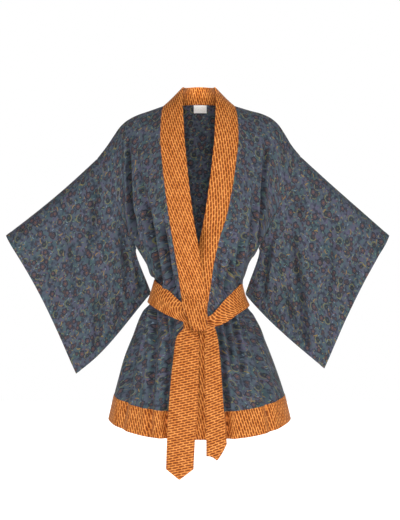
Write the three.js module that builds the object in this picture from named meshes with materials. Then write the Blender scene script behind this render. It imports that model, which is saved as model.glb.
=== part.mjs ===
// A short kimono robe in worn form with nobody in it: plain wide body, square hanging sleeves,
// a contrast neckband that runs down both fronts, a contrast hem border and a tied belt.
// Millimetres. +X is the right of someone who looks at the front, -Y is the front and +Z is up.
// The origin is on the middle line, level with the points where the neckband crosses the shoulders.

import * as THREE from "three";

// Cloth and seams
const CLOTH = 1.6; // body and sleeve cloth
const DOUBLED = 2.4; // neckband, hem border and belt, each folded double
const SEAM_GAP = 0.6; // between two pieces sewn edge to edge
const LAY_GAP = 0.6; // under a piece that lies on another

// Shoulders and neck
const SHOULDER_END_X = 253;
const NECK_SEAM = { halfWidth: 83, back: 90, rise: 8 };
const NECK_TOP = { halfWidth: 38, front: -4, back: 48, sideRise: 46, backRise: 50 };
const ARMHOLE_DEPTH = { front: 48, back: 44 }; // how far each half of the armhole stands off the middle

// Neckband and belt
const BELT_OFFSET = 4.8; // from the gathered cloth's middle to the belt's inner face
const SHINGLE = DOUBLED + 1.2; // how far the upper neckband lies over the lower one
const LABEL = { x: 3, width: 33, height: 19.5, below: 2.5, thickness: 1 };

// Rows of points from the shoulder line (-1) past the armpit (0) to the hem seam (1)
const UPPER_ROWS = 8;
const LOWER_ROWS = [0.09, 0.18, 0.26, 0.34, 0.38, 0.42, 0.47, 0.52, 0.56, 0.61, 0.67, 0.75, 0.83, 0.91, 1];
const BORDER_ROWS = [1, 1.06, 1.12];
const BELT_ROWS = [0.42, 0.47, 0.52];
const FRONT_COLUMNS = 20;
const BACK_HALF_COLUMNS = 17;
const NECK_COLUMNS = 6; // of those of one half of the back, the ones that start at the neck seam
const SLEEVE_COLUMNS = 10;
const FREE_EDGE_ROWS = 4; // of the sleeve, below the armhole

// Height of the shoulder line on its way from the neck (0) to the sleeve (1)
const SHOULDER_LINE = [
  { at: 0, left: 0, right: 0 },
  { at: 0.25, left: -12, right: -10 },
  { at: 0.4, left: -22, right: -18 },
  { at: 0.55, left: -36, right: -30 },
  { at: 0.66, left: -52, right: -45 },
  { at: 0.76, left: -76, right: -69 },
  { at: 0.86, left: -101, right: -97 },
  { at: 1, left: -132, right: -127 },
];

// Sections of the body from the armpit down: half width to the left and right, front and back
// depth from the middle, height at the middle of the front and of the back, height at the side,
// roundness of the ring, and how late the section turns up towards the side
const BODY = [
  { at: 0.0, left: 155, right: 148, front: 112, back: 100, frontMid: -240, backMid: -235, side: -356, round: 2.2, bend: 2.0 },
  { at: 0.18, left: 133, right: 126, front: 111, back: 97, frontMid: -320, backMid: -312, side: -390, round: 2.2, bend: 1.9 },
  { at: 0.34, left: 115, right: 112, front: 101, back: 91, frontMid: -430, backMid: -408, side: -424, round: 2.1, bend: 1.6 },
  { at: 0.42, left: 105, right: 101, front: 91, back: 82, frontMid: -489, backMid: -440, side: -437, round: 2.0, bend: 1.3 },
  { at: 0.47, left: 114, right: 109, front: 90, back: 82, frontMid: -515, backMid: -466, side: -465, round: 2.0, bend: 1.3 },
  { at: 0.52, left: 122, right: 115, front: 93, back: 86, frontMid: -540, backMid: -493, side: -492, round: 2.0, bend: 1.4 },
  { at: 0.56, left: 141, right: 135, front: 102, back: 98, frontMid: -562, backMid: -518, side: -514, round: 2.0, bend: 1.6 },
  { at: 0.67, left: 168, right: 165, front: 119, back: 119, frontMid: -618, backMid: -588, side: -578, round: 2.1, bend: 2.0 },
  { at: 0.83, left: 192, right: 191, front: 130, back: 131, frontMid: -684, backMid: -664, side: -650, round: 2.1, bend: 2.6 },
  { at: 1.0, left: 212, right: 214, front: 138, back: 139, frontMid: -742, backMid: -735, side: -719, round: 2.1, bend: 3.0 },
  { at: 1.12, left: 226, right: 229, front: 143, back: 145, frontMid: -803, backMid: -799, side: -785, round: 2.1, bend: 4.2 },
];

// How much lower the tied belt draws the front at its top and its bottom edge, on the way from the
// left side (-1) to the right side (1)
const KNOT_PULL = [
  { at: -1, top: -1, bottom: 1 },
  { at: -0.7, top: 0, bottom: 0 },
  { at: -0.38, top: -10, bottom: 0 },
  { at: -0.15, top: -17, bottom: 0 },
  { at: 0.05, top: -25, bottom: -3 },
  { at: 0.23, top: -35, bottom: -10 },
  { at: 0.4, top: -28, bottom: -14 },
  { at: 0.6, top: -16, bottom: -12 },
  { at: 0.8, top: -10, bottom: -8 },
  { at: 1, top: -7, bottom: -8 },
];
const PULL_FADE = { above: 0.16, below: 0.2 };

// Distance from the middle line to the seam between each front and the neckband
const BAND_SEAM = [
  { at: -1.0, left: 84, right: 84 },
  { at: -0.75, left: 92, right: 93 },
  { at: -0.5, left: 94, right: 96 },
  { at: -0.25, left: 87, right: 87 },
  { at: 0.0, left: 74, right: 69 },
  { at: 0.18, left: 63, right: 49 },
  { at: 0.34, left: 48, right: 28 },
  { at: 0.42, left: 42, right: 18 },
  { at: 0.52, left: 38, right: 22 },
  { at: 0.67, left: 34, right: 26 },
  { at: 1.0, left: 30, right: 30 },
  { at: 1.12, left: 30, right: 30 },
];

// Way across the neckband from its seam to its free edge: the widths left and right as seen from
// the front, how far it comes forward above the armpit, how far the free edge rises, the share of
// the shingle, and how far the lower (right) half turns in behind the upper one
const BAND = [
  { at: -1.0, left: 45, right: 45, forward: 4, up: 38, lap: 0, tuck: 0 },
  { at: -0.875, left: 49, right: 49, forward: 7, up: 34, lap: 0, tuck: 0 },
  { at: -0.75, left: 52, right: 52, forward: 9, up: 27, lap: 0, tuck: 0 },
  { at: -0.625, left: 55, right: 55, forward: 11, up: 19, lap: 0, tuck: 0 },
  { at: -0.5, left: 58, right: 58, forward: 12, up: 13, lap: 0, tuck: 0 },
  { at: -0.25, left: 59, right: 57, forward: 10, up: 8, lap: 0, tuck: 0 },
  { at: 0.0, left: 58, right: 53, forward: 10, up: 8, lap: 0, tuck: 4 },
  { at: 0.1, left: 58, right: 49, forward: 10, up: 8, lap: 0.5, tuck: 14 },
  { at: 0.2, left: 59, right: 46, forward: 10, up: 7, lap: 1, tuck: 24 },
  { at: 0.32, left: 59, right: 56, forward: 10, up: 4, lap: 1, tuck: 8 },
  { at: 0.4, left: 60, right: 60, forward: 10, up: 1, lap: 1, tuck: 0 },
  { at: 0.52, left: 60, right: 60, forward: 10, up: 0, lap: 1, tuck: 0 },
  { at: 1.12, left: 60, right: 60, forward: 10, up: 0, lap: 1, tuck: 0 },
];

// Folds of the body. across is the share of the panel's width from the neckband seam to the side
// (on the back, from -1 at the left side to 1 at the right), deep and faint are the levels where a
// gather is deepest and where it ends, lean is how far it drifts on the way, a ridge has a
// negative depth.
const LEFT_FOLDS = [
  { across: 0.77, deep: -0.3, faint: -0.8, lean: -0.18, depth: 13, width: 0.055 },
  { across: 0.77, deep: -0.3, faint: 0.02, lean: 0.26, depth: 13, width: 0.055 },
  { across: 0.62, deep: -0.2, faint: -0.65, lean: -0.08, depth: -6, width: 0.06 },
  { across: 0.55, deep: 0.34, faint: -0.55, lean: -0.08, depth: 11, width: 0.055 },
  { across: 0.17, deep: 0.34, faint: -0.12, lean: 0.0, depth: 6, width: 0.045 },
  { across: 0.35, deep: 0.36, faint: 0.05, lean: 0.01, depth: 5, width: 0.05 },
  { across: 0.78, deep: 0.36, faint: 0.1, lean: 0.02, depth: 5, width: 0.05 },
  { across: 0.14, deep: 0.56, faint: 1.0, lean: 0.02, depth: 6, width: 0.05 },
  { across: 0.32, deep: 0.57, faint: 1.3, lean: 0.04, depth: 8, width: 0.06 },
  { across: 0.5, deep: 0.56, faint: 0.95, lean: 0.02, depth: 6, width: 0.05 },
  { across: 0.66, deep: 0.57, faint: 1.35, lean: -0.02, depth: 8, width: 0.06 },
  { across: 0.84, deep: 0.56, faint: 1.0, lean: -0.02, depth: 6, width: 0.05 },
];
const RIGHT_FOLDS = [
  { across: 0.72, deep: -0.3, faint: -0.76, lean: -0.18, depth: 8, width: 0.06 },
  { across: 0.72, deep: -0.3, faint: 0.02, lean: 0.24, depth: 8, width: 0.06 },
  { across: 0.5, deep: 0.36, faint: -0.2, lean: 0.05, depth: 6, width: 0.05 },
  { across: 0.3, deep: 0.37, faint: 0.06, lean: 0.02, depth: 5, width: 0.05 },
  { across: 0.72, deep: 0.36, faint: 0.0, lean: 0.03, depth: 6, width: 0.05 },
  { across: 0.16, deep: 0.56, faint: 0.9, lean: 0.03, depth: 5, width: 0.05 },
  { across: 0.34, deep: 0.57, faint: 1.3, lean: 0.05, depth: 8, width: 0.06 },
  { across: 0.52, deep: 0.56, faint: 1.0, lean: 0.02, depth: 6, width: 0.05 },
  { across: 0.68, deep: 0.57, faint: 1.25, lean: 0.0, depth: 7, width: 0.055 },
  { across: 0.86, deep: 0.56, faint: 0.9, lean: -0.02, depth: 5, width: 0.05 },
];
const BACK_FOLDS = [
  { across: -0.7, deep: -0.2, faint: -0.75, lean: 0.02, depth: 9, width: 0.06 },
  { across: -0.7, deep: -0.2, faint: 0.2, lean: 0.02, depth: 9, width: 0.06 },
  { across: 0.68, deep: -0.2, faint: -0.7, lean: -0.02, depth: 8, width: 0.06 },
  { across: 0.68, deep: -0.2, faint: 0.2, lean: -0.02, depth: 8, width: 0.06 },
  { across: -0.5, deep: 0.36, faint: -0.1, lean: -0.05, depth: 6, width: 0.05 },
  { across: -0.22, deep: 0.37, faint: 0.0, lean: -0.02, depth: 7, width: 0.06 },
  { across: 0.06, deep: 0.36, faint: 0.08, lean: 0.01, depth: 5, width: 0.05 },
  { across: 0.31, deep: 0.37, faint: -0.15, lean: 0.03, depth: 7, width: 0.06 },
  { across: 0.55, deep: 0.36, faint: 0.05, lean: 0.04, depth: 5, width: 0.05 },
  { across: -0.76, deep: 0.57, faint: 1.1, lean: 0.02, depth: 7, width: 0.06 },
  { across: -0.52, deep: 0.57, faint: 1.3, lean: -0.03, depth: 9, width: 0.06 },
  { across: -0.28, deep: 0.56, faint: 0.95, lean: -0.02, depth: 6, width: 0.05 },
  { across: -0.06, deep: 0.57, faint: 1.35, lean: -0.02, depth: 9, width: 0.06 },
  { across: 0.17, deep: 0.56, faint: 1.0, lean: 0.02, depth: 6, width: 0.05 },
  { across: 0.4, deep: 0.57, faint: 1.3, lean: 0.03, depth: 8, width: 0.06 },
  { across: 0.62, deep: 0.56, faint: 0.95, lean: 0.02, depth: 6, width: 0.05 },
  { across: 0.83, deep: 0.57, faint: 1.15, lean: 0.01, depth: 7, width: 0.06 },
];

// Each sleeve seen from the front: wrist end of the top fold, lower outer corner, armpit and
// lower inner corner, then how far its edges sag or draw in, where along it the lower edge sags
// most (a share of the length), and its soft folds. The folds run
// down the sleeve: along is the share of its length, lean their drift towards the cuff.
const SLEEVES = {
  left: {
    wrist: [-476, -327], outer: [-308, -668], armpit: [-155, -356], inner: [-125, -478],
    topSag: 6, lowerSag: 15, lowest: 0.6, cuffDraw: 12,
    folds: [
      { along: -0.03, lean: 0.78, depth: 6, width: 0.09 },
      { along: -0.5, lean: 0.8, depth: 7, width: 0.1 },
      { along: 0.28, lean: 0.74, depth: -6, width: 0.13 },
    ],
  },
  right: {
    wrist: [469, -327], outer: [314, -655], armpit: [148, -356], inner: [123, -480],
    topSag: 1, lowerSag: 10, lowest: 0.38, cuffDraw: 9,
    folds: [
      { along: -0.09, lean: 0.78, depth: 8, width: 0.09 },
      { along: 0.2, lean: 0.75, depth: -6, width: 0.12 },
      { along: 0.5, lean: 0.6, depth: 5, width: 0.12 },
    ],
  },
};
const ARM = { shoulderRadius: 45, wristRadius: 38, forward: 25, fall: 125 };
const SLEEVE_LAYER = 4; // half the distance between the two layers where the sleeve hangs flat
const INNER_CORNER_BACK = 30; // how far the lower inner corner swings behind the hip

// Belt ends that hang from the knot: height, left and right edge
const LONG_END = [
  { at: -546, left: -38, right: -5 },
  { at: -557, left: -49, right: -2 },
  { at: -575, left: -57, right: 1 },
  { at: -600, left: -60, right: 0 },
  { at: -663, left: -67, right: -1 },
  { at: -740, left: -73, right: -3 },
  { at: -799, left: -76, right: -9 },
  { at: -878, left: -79, right: -13 },
];
const LONG_END_TIP = { x: -47, z: -903 };
const SHORT_END = [
  { at: -547, left: 15, right: 35 },
  { at: -557, left: 15, right: 41 },
  { at: -575, left: 15, right: 46 },
  { at: -640, left: 14, right: 53 },
  { at: -686, left: 14, right: 56 },
  { at: -731, left: 15, right: 59 },
  { at: -797, left: 17, right: 65 },
  { at: -816, left: 17.5, right: 66.5 },
];
const SHORT_END_TIP = { x: 43, z: -856, leftCornerZ: -845 };
const END_ROW_STEP = 24;
const END_LAY = 1.9; // from the body cloth to the belt ends, more where they cross the neckband

// Knot: height, left and right edge, distance of its back from the middle of the body, thickness
const KNOT = [
  { at: -478, left: -41, right: 14, back: 99.6, thick: 6 },
  { at: -485, left: -42, right: 16, back: 99.6, thick: 12 },
  { at: -500, left: -38, right: 17, back: 99.6, thick: 17 },
  { at: -518, left: -30, right: 19, back: 99.6, thick: 20 },
  { at: -534, left: -22, right: 20, back: 99.6, thick: 20 },
  { at: -545, left: -17, right: 19, back: 102.0, thick: 15 },
  { at: -550, left: -12, right: 15, back: 102.8, thick: 7 },
];
const KNOT_SIDES = 14;

const COLOURS = {
  print: { color: 0x4d5766, roughness: 0.75 },
  contrast: { color: 0xc8742e, roughness: 0.7 },
  label: { color: 0xf2efe8, roughness: 0.6 },
};

// Tables

// A column of a table at a key, by a smooth curve that never overshoots its rows.
function read(table, key, column) {
  const last = table.length - 1;
  const direction = Math.sign(table[last].at - table[0].at);
  const secant = (i) => (table[i + 1][column] - table[i][column]) / (table[i + 1].at - table[i].at);
  const slope = (i) => {
    if (i === 0) return secant(0);
    if (i === last) return secant(last - 1);
    const before = secant(i - 1);
    const after = secant(i);
    return before * after <= 0 ? 0 : (2 * before * after) / (before + after);
  };
  let i = 0;
  while (i < last - 1 && (key - table[i + 1].at) * direction > 0) i++;
  const step = table[i + 1].at - table[i].at;
  const t = THREE.MathUtils.clamp((key - table[i].at) / step, 0, 1);
  const t2 = t * t;
  const t3 = t2 * t;
  return (2 * t3 - 3 * t2 + 1) * table[i][column] + (t3 - 2 * t2 + t) * step * slope(i)
    + (3 * t2 - 2 * t3) * table[i + 1][column] + (t3 - t2) * step * slope(i + 1);
}

const mix = (a, b, t) => a + (b - a) * t;
const smooth = (t) => THREE.MathUtils.smoothstep(t, 0, 1);

// The sum of the folds of a table at a place on a panel.
function foldDepth(folds, across, level) {
  let sum = 0;
  for (const f of folds) {
    const t = (level - f.deep) / (f.faint - f.deep);
    if (t < -0.12 || t > 1) continue;
    const fade = t < 0 ? 1 + t / 0.12 : Math.cos((t * Math.PI) / 2);
    const off = (across - f.across - f.lean * t) / f.width;
    sum += f.depth * fade * Math.exp(-off * off);
  }
  return sum;
}

// Panels: grids of points on the outer face, with a normal at each point

class Panel {
  // points[i][j] runs i across and j down; facing turns the normals the other way round, and a
  // looped panel closes on itself along j.
  constructor(points, facing, looped = false) {
    this.points = points;
    this.facing = facing;
    this.looped = looped;
    this.columns = points.length;
    this.rows = points[0].length;
    this.normals = this.findNormals();
  }

  findNormals() {
    const at = (i, j) => this.points[i][j];
    return this.points.map((column, i) => column.map((_, j) => {
      const [i0, i1] = [Math.max(i - 1, 0), Math.min(i + 1, this.columns - 1)];
      const j0 = this.looped ? (j + this.rows - 1) % this.rows : Math.max(j - 1, 0);
      const j1 = this.looped ? (j + 1) % this.rows : Math.min(j + 1, this.rows - 1);
      const across = at(i1, j).clone().sub(at(i0, j));
      const down = at(i, j1).clone().sub(at(i, j0));
      return down.cross(across).multiplyScalar(this.facing).normalize();
    }));
  }

  // Moves each point in along its normal by a depth that place(i, j) gives.
  press(depth) {
    const moved = this.points.map((column, i) => column.map((p, j) => (
      p.clone().addScaledVector(this.normals[i][j], -depth(i, j))
    )));
    this.points = moved;
    this.normals = this.findNormals();
    return this;
  }

  column(i, from = 0, to = this.rows - 1) {
    const inner = i === 0 ? 1 : i - 1;
    const list = [];
    for (let j = from; j !== to + Math.sign(to - from); j += Math.sign(to - from)) {
      list.push({ panel: this, i, j, innerI: inner, innerJ: j });
    }
    return list;
  }

  row(j, from = 0, to = this.columns - 1) {
    const inner = j === 0 ? 1 : j - 1;
    const list = [];
    for (let i = from; i !== to + Math.sign(to - from); i += Math.sign(to - from)) {
      list.push({ panel: this, i, j, innerI: i, innerJ: inner });
    }
    return list;
  }
}

// Sews two edges with the same number of points: their normals agree and a gap parts them.
function sew(edgeA, edgeB) {
  edgeA.forEach((a, k) => {
    const b = edgeB[k];
    const shared = a.panel.normals[a.i][a.j].clone().add(b.panel.normals[b.i][b.j]).normalize();
    a.panel.normals[a.i][a.j] = shared.clone();
    b.panel.normals[b.i][b.j] = shared.clone();
  });
  drawBack(edgeA);
  drawBack(edgeB);
}

// Moves the points of an edge half a seam gap into their own panel.
function drawBack(edge, distance = SEAM_GAP / 2) {
  const moves = edge.map(({ panel, i, j, innerI, innerJ }) => (
    panel.points[innerI][innerJ].clone().sub(panel.points[i][j]).setLength(distance)
  ));
  edge.forEach(({ panel, i, j }, k) => panel.points[i][j].add(moves[k]));
}

// A closed wall whose outer face is the panel and whose inner face lies a thickness inside it.
function wallGeometry(panel, thickness) {
  const { columns, rows, looped, facing } = panel;
  const positions = [];
  const push = (p) => positions.push(p.x, p.y, p.z);
  panel.points.forEach((column) => column.forEach(push));
  panel.points.forEach((column, i) => column.forEach((p, j) => (
    push(p.clone().addScaledVector(panel.normals[i][j], -thickness))
  )));
  const skin = columns * rows;
  const outer = (i, j) => i * rows + (j % rows);
  const inner = (i, j) => skin + outer(i, j);
  const index = [];
  const quad = (a, b, c, d) => (facing > 0 ? index.push(a, b, c, a, c, d) : index.push(a, c, b, a, d, c));
  const lastRow = looped ? rows : rows - 1;
  for (let i = 0; i < columns - 1; i++) {
    for (let j = 0; j < lastRow; j++) {
      quad(outer(i, j), outer(i, j + 1), outer(i + 1, j + 1), outer(i + 1, j));
      quad(inner(i, j), inner(i + 1, j), inner(i + 1, j + 1), inner(i, j + 1));
    }
    if (looped) continue;
    quad(outer(i, 0), outer(i + 1, 0), inner(i + 1, 0), inner(i, 0));
    quad(outer(i + 1, rows - 1), outer(i, rows - 1), inner(i, rows - 1), inner(i + 1, rows - 1));
  }
  for (let j = 0; j < lastRow; j++) {
    quad(outer(0, j + 1), outer(0, j), inner(0, j), inner(0, j + 1));
    quad(outer(columns - 1, j), outer(columns - 1, j + 1), inner(columns - 1, j + 1), inner(columns - 1, j));
  }
  const geometry = new THREE.BufferGeometry();
  geometry.setAttribute("position", new THREE.Float32BufferAttribute(positions, 3));
  geometry.setIndex(index);
  geometry.computeVertexNormals();
  return geometry;
}

const robe = new THREE.Group();

function addMesh(name, geometry, colour) {
  const mesh = new THREE.Mesh(geometry, new THREE.MeshStandardMaterial({ ...COLOURS[colour], metalness: 0 }));
  mesh.name = name;
  robe.add(mesh);
}

const addWall = (name, panel, thickness, colour) => addMesh(name, wallGeometry(panel, thickness), colour);

// Body surface

const LEVELS = [
  ...Array.from({ length: UPPER_ROWS + 1 }, (_, j) => -1 + j / UPPER_ROWS),
  ...LOWER_ROWS,
];
const SIDE_SIGN = { left: -1, right: 1 };

// A point of the ring around the body at a level below the armpit, at an angle from the middle
// of the front or back (0) to the side (90 degrees).
function ringPoint(face, sign, level, angle) {
  const half = read(BODY, level, sign < 0 ? "left" : "right");
  const depth = read(BODY, level, face);
  const power = 2 / read(BODY, level, "round");
  const mid = read(BODY, level, face === "front" ? "frontMid" : "backMid");
  const side = read(BODY, level, "side");
  const share = Math.sin(angle) ** power;
  const y = depth * Math.max(Math.cos(angle), 0) ** power;
  const z = mix(mid, side, share ** read(BODY, level, "bend")) + knotPull(face, sign * share, level);
  return new THREE.Vector3(sign * half * share, face === "front" ? -y : y, z);
}

// How far the front surface stands off the middle at a place seen from the front.
function frontDepth(x, z) {
  const column = x < 0 ? "left" : "right";
  const pointAt = (level) => {
    const share = Math.min(Math.abs(x) / read(BODY, level, column), 1);
    return ringPoint("front", Math.sign(x) || 1, level, Math.asin(share ** (read(BODY, level, "round") / 2)));
  };
  let above = 0;
  let below = BODY[BODY.length - 1].at;
  for (let step = 0; step < 20; step++) {
    const middle = (above + below) / 2;
    if (pointAt(middle).z > z) above = middle;
    else below = middle;
  }
  return -pointAt((above + below) / 2).y;
}

function knotPull(face, share, level) {
  const [top, , bottom] = BELT_ROWS;
  const above = smooth(1 - (top - level) / PULL_FADE.above);
  const below = smooth(1 - (level - bottom) / PULL_FADE.below);
  const key = face === "front" ? share : Math.sign(share);
  const inBelt = THREE.MathUtils.clamp((level - top) / (bottom - top), 0, 1);
  const pull = mix(read(KNOT_PULL, key, "top"), read(KNOT_PULL, key, "bottom"), inBelt);
  return pull * above * below * (face === "front" ? 1 : Math.abs(share));
}

const bandSeamX = (level, sideName) => read(BAND_SEAM, level, sideName);

// The angle on the ring where the neckband seam of a front lies.
function seamAngle(level, sideName) {
  const share = bandSeamX(level, sideName) / read(BODY, level, sideName);
  return Math.asin(share ** (read(BODY, level, "round") / 2));
}

// The shoulder line from the neck seam (0) to the sleeve seam (1).
function shoulderPoint(sign, t) {
  const x = mix(NECK_SEAM.halfWidth, SHOULDER_END_X, t);
  return new THREE.Vector3(sign * x, 0, read(SHOULDER_LINE, t, sign < 0 ? "left" : "right"));
}

// From a start on the shoulder or neck seam, a column rounds the shoulder and falls to the
// armpit section; the side column stands off by the depth of the armhole.
function upperPoint(face, sign, level, start, end, across) {
  const turn = ((1 + level) * Math.PI) / 2;
  const fallen = 1 - Math.cos(turn);
  const faceSign = face === "front" ? -1 : 1;
  const bulge = ARMHOLE_DEPTH[face] * across ** 3 * Math.max(Math.sin((1 + level) * Math.PI), 0) ** 0.8;
  return new THREE.Vector3(
    mix(start.x, end.x, fallen),
    mix(start.y, end.y, Math.sin(turn)) + faceSign * bulge,
    mix(start.z, end.z, fallen),
  );
}

// A front from the neckband seam (across 0) to the side or armhole (across 1).
function frontPoint(sideName, across, level) {
  const sign = SIDE_SIGN[sideName];
  if (level >= 0) {
    const angle = mix(seamAngle(level, sideName), Math.PI / 2, across);
    return ringPoint("front", sign, level, angle);
  }
  const angle = mix(seamAngle(0, sideName), Math.PI / 2, across);
  const end = ringPoint("front", sign, 0, angle);
  const point = upperPoint("front", sign, level, shoulderPoint(sign, across), end, across);
  const edge = upperPoint("front", sign, level, shoulderPoint(sign, 0), ringPoint("front", sign, 0, seamAngle(0, sideName)), 0);
  point.x += (sign * bandSeamX(level, sideName) - edge.x) * (1 - across) ** 2;
  return point;
}

// The neck seam of the back from its middle (0) to the shoulder (1).
function neckSeamPoint(sign, t) {
  const angle = (t * Math.PI) / 2;
  return new THREE.Vector3(
    sign * NECK_SEAM.halfWidth * Math.sin(angle),
    NECK_SEAM.back * Math.cos(angle),
    NECK_SEAM.rise * Math.cos(angle) ** 2,
  );
}

// The back from its left side (across -1) to its right side (across 1).
function backPoint(across, level) {
  const sign = across < 0 ? -1 : 1;
  const out = Math.abs(across);
  const neckShare = NECK_COLUMNS / BACK_HALF_COLUMNS;
  if (level >= 0) return ringPoint("back", sign, level, (out * Math.PI) / 2);
  const end = ringPoint("back", sign, 0, (out * Math.PI) / 2);
  const start = out < neckShare
    ? neckSeamPoint(sign, out / neckShare)
    : shoulderPoint(sign, (out - neckShare) / (1 - neckShare));
  return upperPoint("back", sign, level, start, end, out);
}

// Folds fade out at the seams, so that the pieces still meet.
const seamFade = (across) => Math.min(1, 7 * across, 7 * (1 - across));

function frontPanel(sideName, levels) {
  const sign = SIDE_SIGN[sideName];
  const points = Array.from({ length: FRONT_COLUMNS + 1 }, (_, i) => (
    levels.map((level) => frontPoint(sideName, i / FRONT_COLUMNS, level))
  ));
  const folds = sideName === "left" ? LEFT_FOLDS : RIGHT_FOLDS;
  return new Panel(points, sign).press((i, j) => {
    const across = i / FRONT_COLUMNS;
    return foldDepth(folds, across, levels[j]) * seamFade(across);
  });
}

function backPanel(levels) {
  const count = 2 * BACK_HALF_COLUMNS;
  const acrossAt = (i) => (i - BACK_HALF_COLUMNS) / BACK_HALF_COLUMNS;
  const points = Array.from({ length: count + 1 }, (_, i) => (
    levels.map((level) => backPoint(acrossAt(i), level))
  ));
  return new Panel(points, -1).press((i, j) => {
    const across = acrossAt(i);
    return foldDepth(BACK_FOLDS, across, levels[j]) * Math.min(1, 7 * (1 - Math.abs(across)));
  });
}

const fronts = {
  left: frontPanel("left", LEVELS),
  right: frontPanel("right", LEVELS),
};
const back = backPanel(LEVELS);
const borders = {
  left: frontPanel("left", BORDER_ROWS),
  right: frontPanel("right", BORDER_ROWS),
};
const backBorder = backPanel(BORDER_ROWS);

// On the shoulder line the front and back share the normal of the ridge.
function setRidgeNormals() {
  for (const sideName of ["left", "right"]) {
    const sign = SIDE_SIGN[sideName];
    const normalAt = (t) => {
      const step = 0.01;
      const along = shoulderPoint(sign, Math.min(t + step, 1)).sub(shoulderPoint(sign, Math.max(t - step, 0)));
      return new THREE.Vector3(-along.z * sign, 0, along.x * sign).normalize();
    };
    for (let i = 0; i <= FRONT_COLUMNS; i++) {
      fronts[sideName].normals[i][0] = normalAt(i / FRONT_COLUMNS);
    }
    const ridgeColumns = BACK_HALF_COLUMNS - NECK_COLUMNS;
    for (let k = 0; k <= ridgeColumns; k++) {
      const i = BACK_HALF_COLUMNS + sign * (NECK_COLUMNS + k);
      back.normals[i][0] = normalAt(k / ridgeColumns);
    }
  }
}

// Sleeves

// A point of a sleeve in the view from the front, by Coons' blend of its four edges: along runs
// from the body to the cuff and down from the top fold to the lower edge.
function sleeveOutline(sleeve, sign, along, down, armpitShare) {
  const shoulder = shoulderPoint(sign, 1);
  const corner = {
    shoulder: new THREE.Vector2(shoulder.x, shoulder.z),
    wrist: new THREE.Vector2(...sleeve.wrist),
    outer: new THREE.Vector2(...sleeve.outer),
    inner: new THREE.Vector2(...sleeve.inner),
    armpit: new THREE.Vector2(...sleeve.armpit),
  };
  const line = (a, b, t) => a.clone().lerp(b, t);
  const top = line(corner.shoulder, corner.wrist, along);
  top.y -= sleeve.topSag * Math.sin(Math.PI * along);
  const lower = line(corner.inner, corner.outer, along);
  lower.y -= sleeve.lowerSag * Math.sin(Math.PI * along ** (Math.log(0.5) / Math.log(sleeve.lowest)));
  const cuff = line(corner.wrist, corner.outer, down);
  cuff.x -= sign * sleeve.cuffDraw * Math.sin(Math.PI * down ** 0.7);
  const body = down < armpitShare
    ? line(corner.shoulder, corner.armpit, down / armpitShare)
    : line(corner.armpit, corner.inner, (down - armpitShare) / (1 - armpitShare));
  const straight = line(line(corner.shoulder, corner.wrist, along), line(corner.inner, corner.outer, along), down);
  return line(top, lower, down).add(line(body, cuff, along)).sub(straight);
}

// Half the distance between the two layers of a sleeve, a distance below its top fold: round over
// the arm, then falling together.
function layerDistance(below, radius) {
  if (below < radius) return Math.sqrt(below * (2 * radius - below));
  const fallen = (below - radius) / ARM.fall;
  return mix(SLEEVE_LAYER, radius, Math.exp(-(fallen ** 1.6)));
}

function sleevePanel(sideName) {
  const sleeve = SLEEVES[sideName];
  const sign = SIDE_SIGN[sideName];
  const armpit = new THREE.Vector2(...sleeve.armpit);
  const shoulder = shoulderPoint(sign, 1);
  const armhole = armpit.distanceTo(new THREE.Vector2(shoulder.x, shoulder.z));
  const freeEdge = armpit.distanceTo(new THREE.Vector2(...sleeve.inner));
  const depth = armhole + freeEdge;
  const armpitShare = armhole / depth;
  const halfLoop = UPPER_ROWS + FREE_EDGE_ROWS;
  const frontEdge = fronts[sideName].points[FRONT_COLUMNS];
  const backEdge = back.points[sign > 0 ? 2 * BACK_HALF_COLUMNS : 0];

  const downAt = (k) => (k <= UPPER_ROWS
    ? armpitShare * (1 - Math.cos((k / UPPER_ROWS) * (Math.PI / 2)))
    : mix(armpitShare, 1, (k - UPPER_ROWS) / FREE_EDGE_ROWS));

  const pointAt = (along, k, faceSign) => {
    const down = downAt(k);
    const outline = sleeveOutline(sleeve, sign, along, down, armpitShare);
    const flat = Math.min(1, (1 - down) * 12); // the layers close at the lower edge
    const general = layerDistance(down * depth, mix(ARM.shoulderRadius, ARM.wristRadius, along)) * flat;
    const edge = faceSign < 0 ? frontEdge : backEdge;
    const atBody = k < UPPER_ROWS ? Math.abs(edge[k].y) : SLEEVE_LAYER * flat;
    const half = mix(atBody, general, smooth(along / 0.4));
    const swing = INNER_CORNER_BACK * smooth((down - armpitShare) / (1 - armpitShare)) * (1 - along) ** 2;
    const forward = -ARM.forward * smooth(along) * (1 - down);
    const ripple = sleeve.folds.reduce((sum, f) => {
      const off = (along - f.along - f.lean * down) / f.width;
      return sum + f.depth * Math.exp(-off * off) * smooth((down - 0.15) / 0.35) * smooth(along / 0.15);
    }, 0);
    return new THREE.Vector3(outline.x, swing + forward + ripple + faceSign * half, outline.y);
  };

  const points = Array.from({ length: SLEEVE_COLUMNS + 1 }, (_, i) => {
    const along = i / SLEEVE_COLUMNS;
    const frontHalf = Array.from({ length: halfLoop + 1 }, (__, k) => pointAt(along, k, -1));
    const backHalf = Array.from({ length: halfLoop - 1 }, (__, k) => pointAt(along, halfLoop - 1 - k, 1));
    return [...frontHalf, ...backHalf];
  });
  return new Panel(points, sign, true);
}

const sleeves = { left: sleevePanel("left"), right: sleevePanel("right") };

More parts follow.
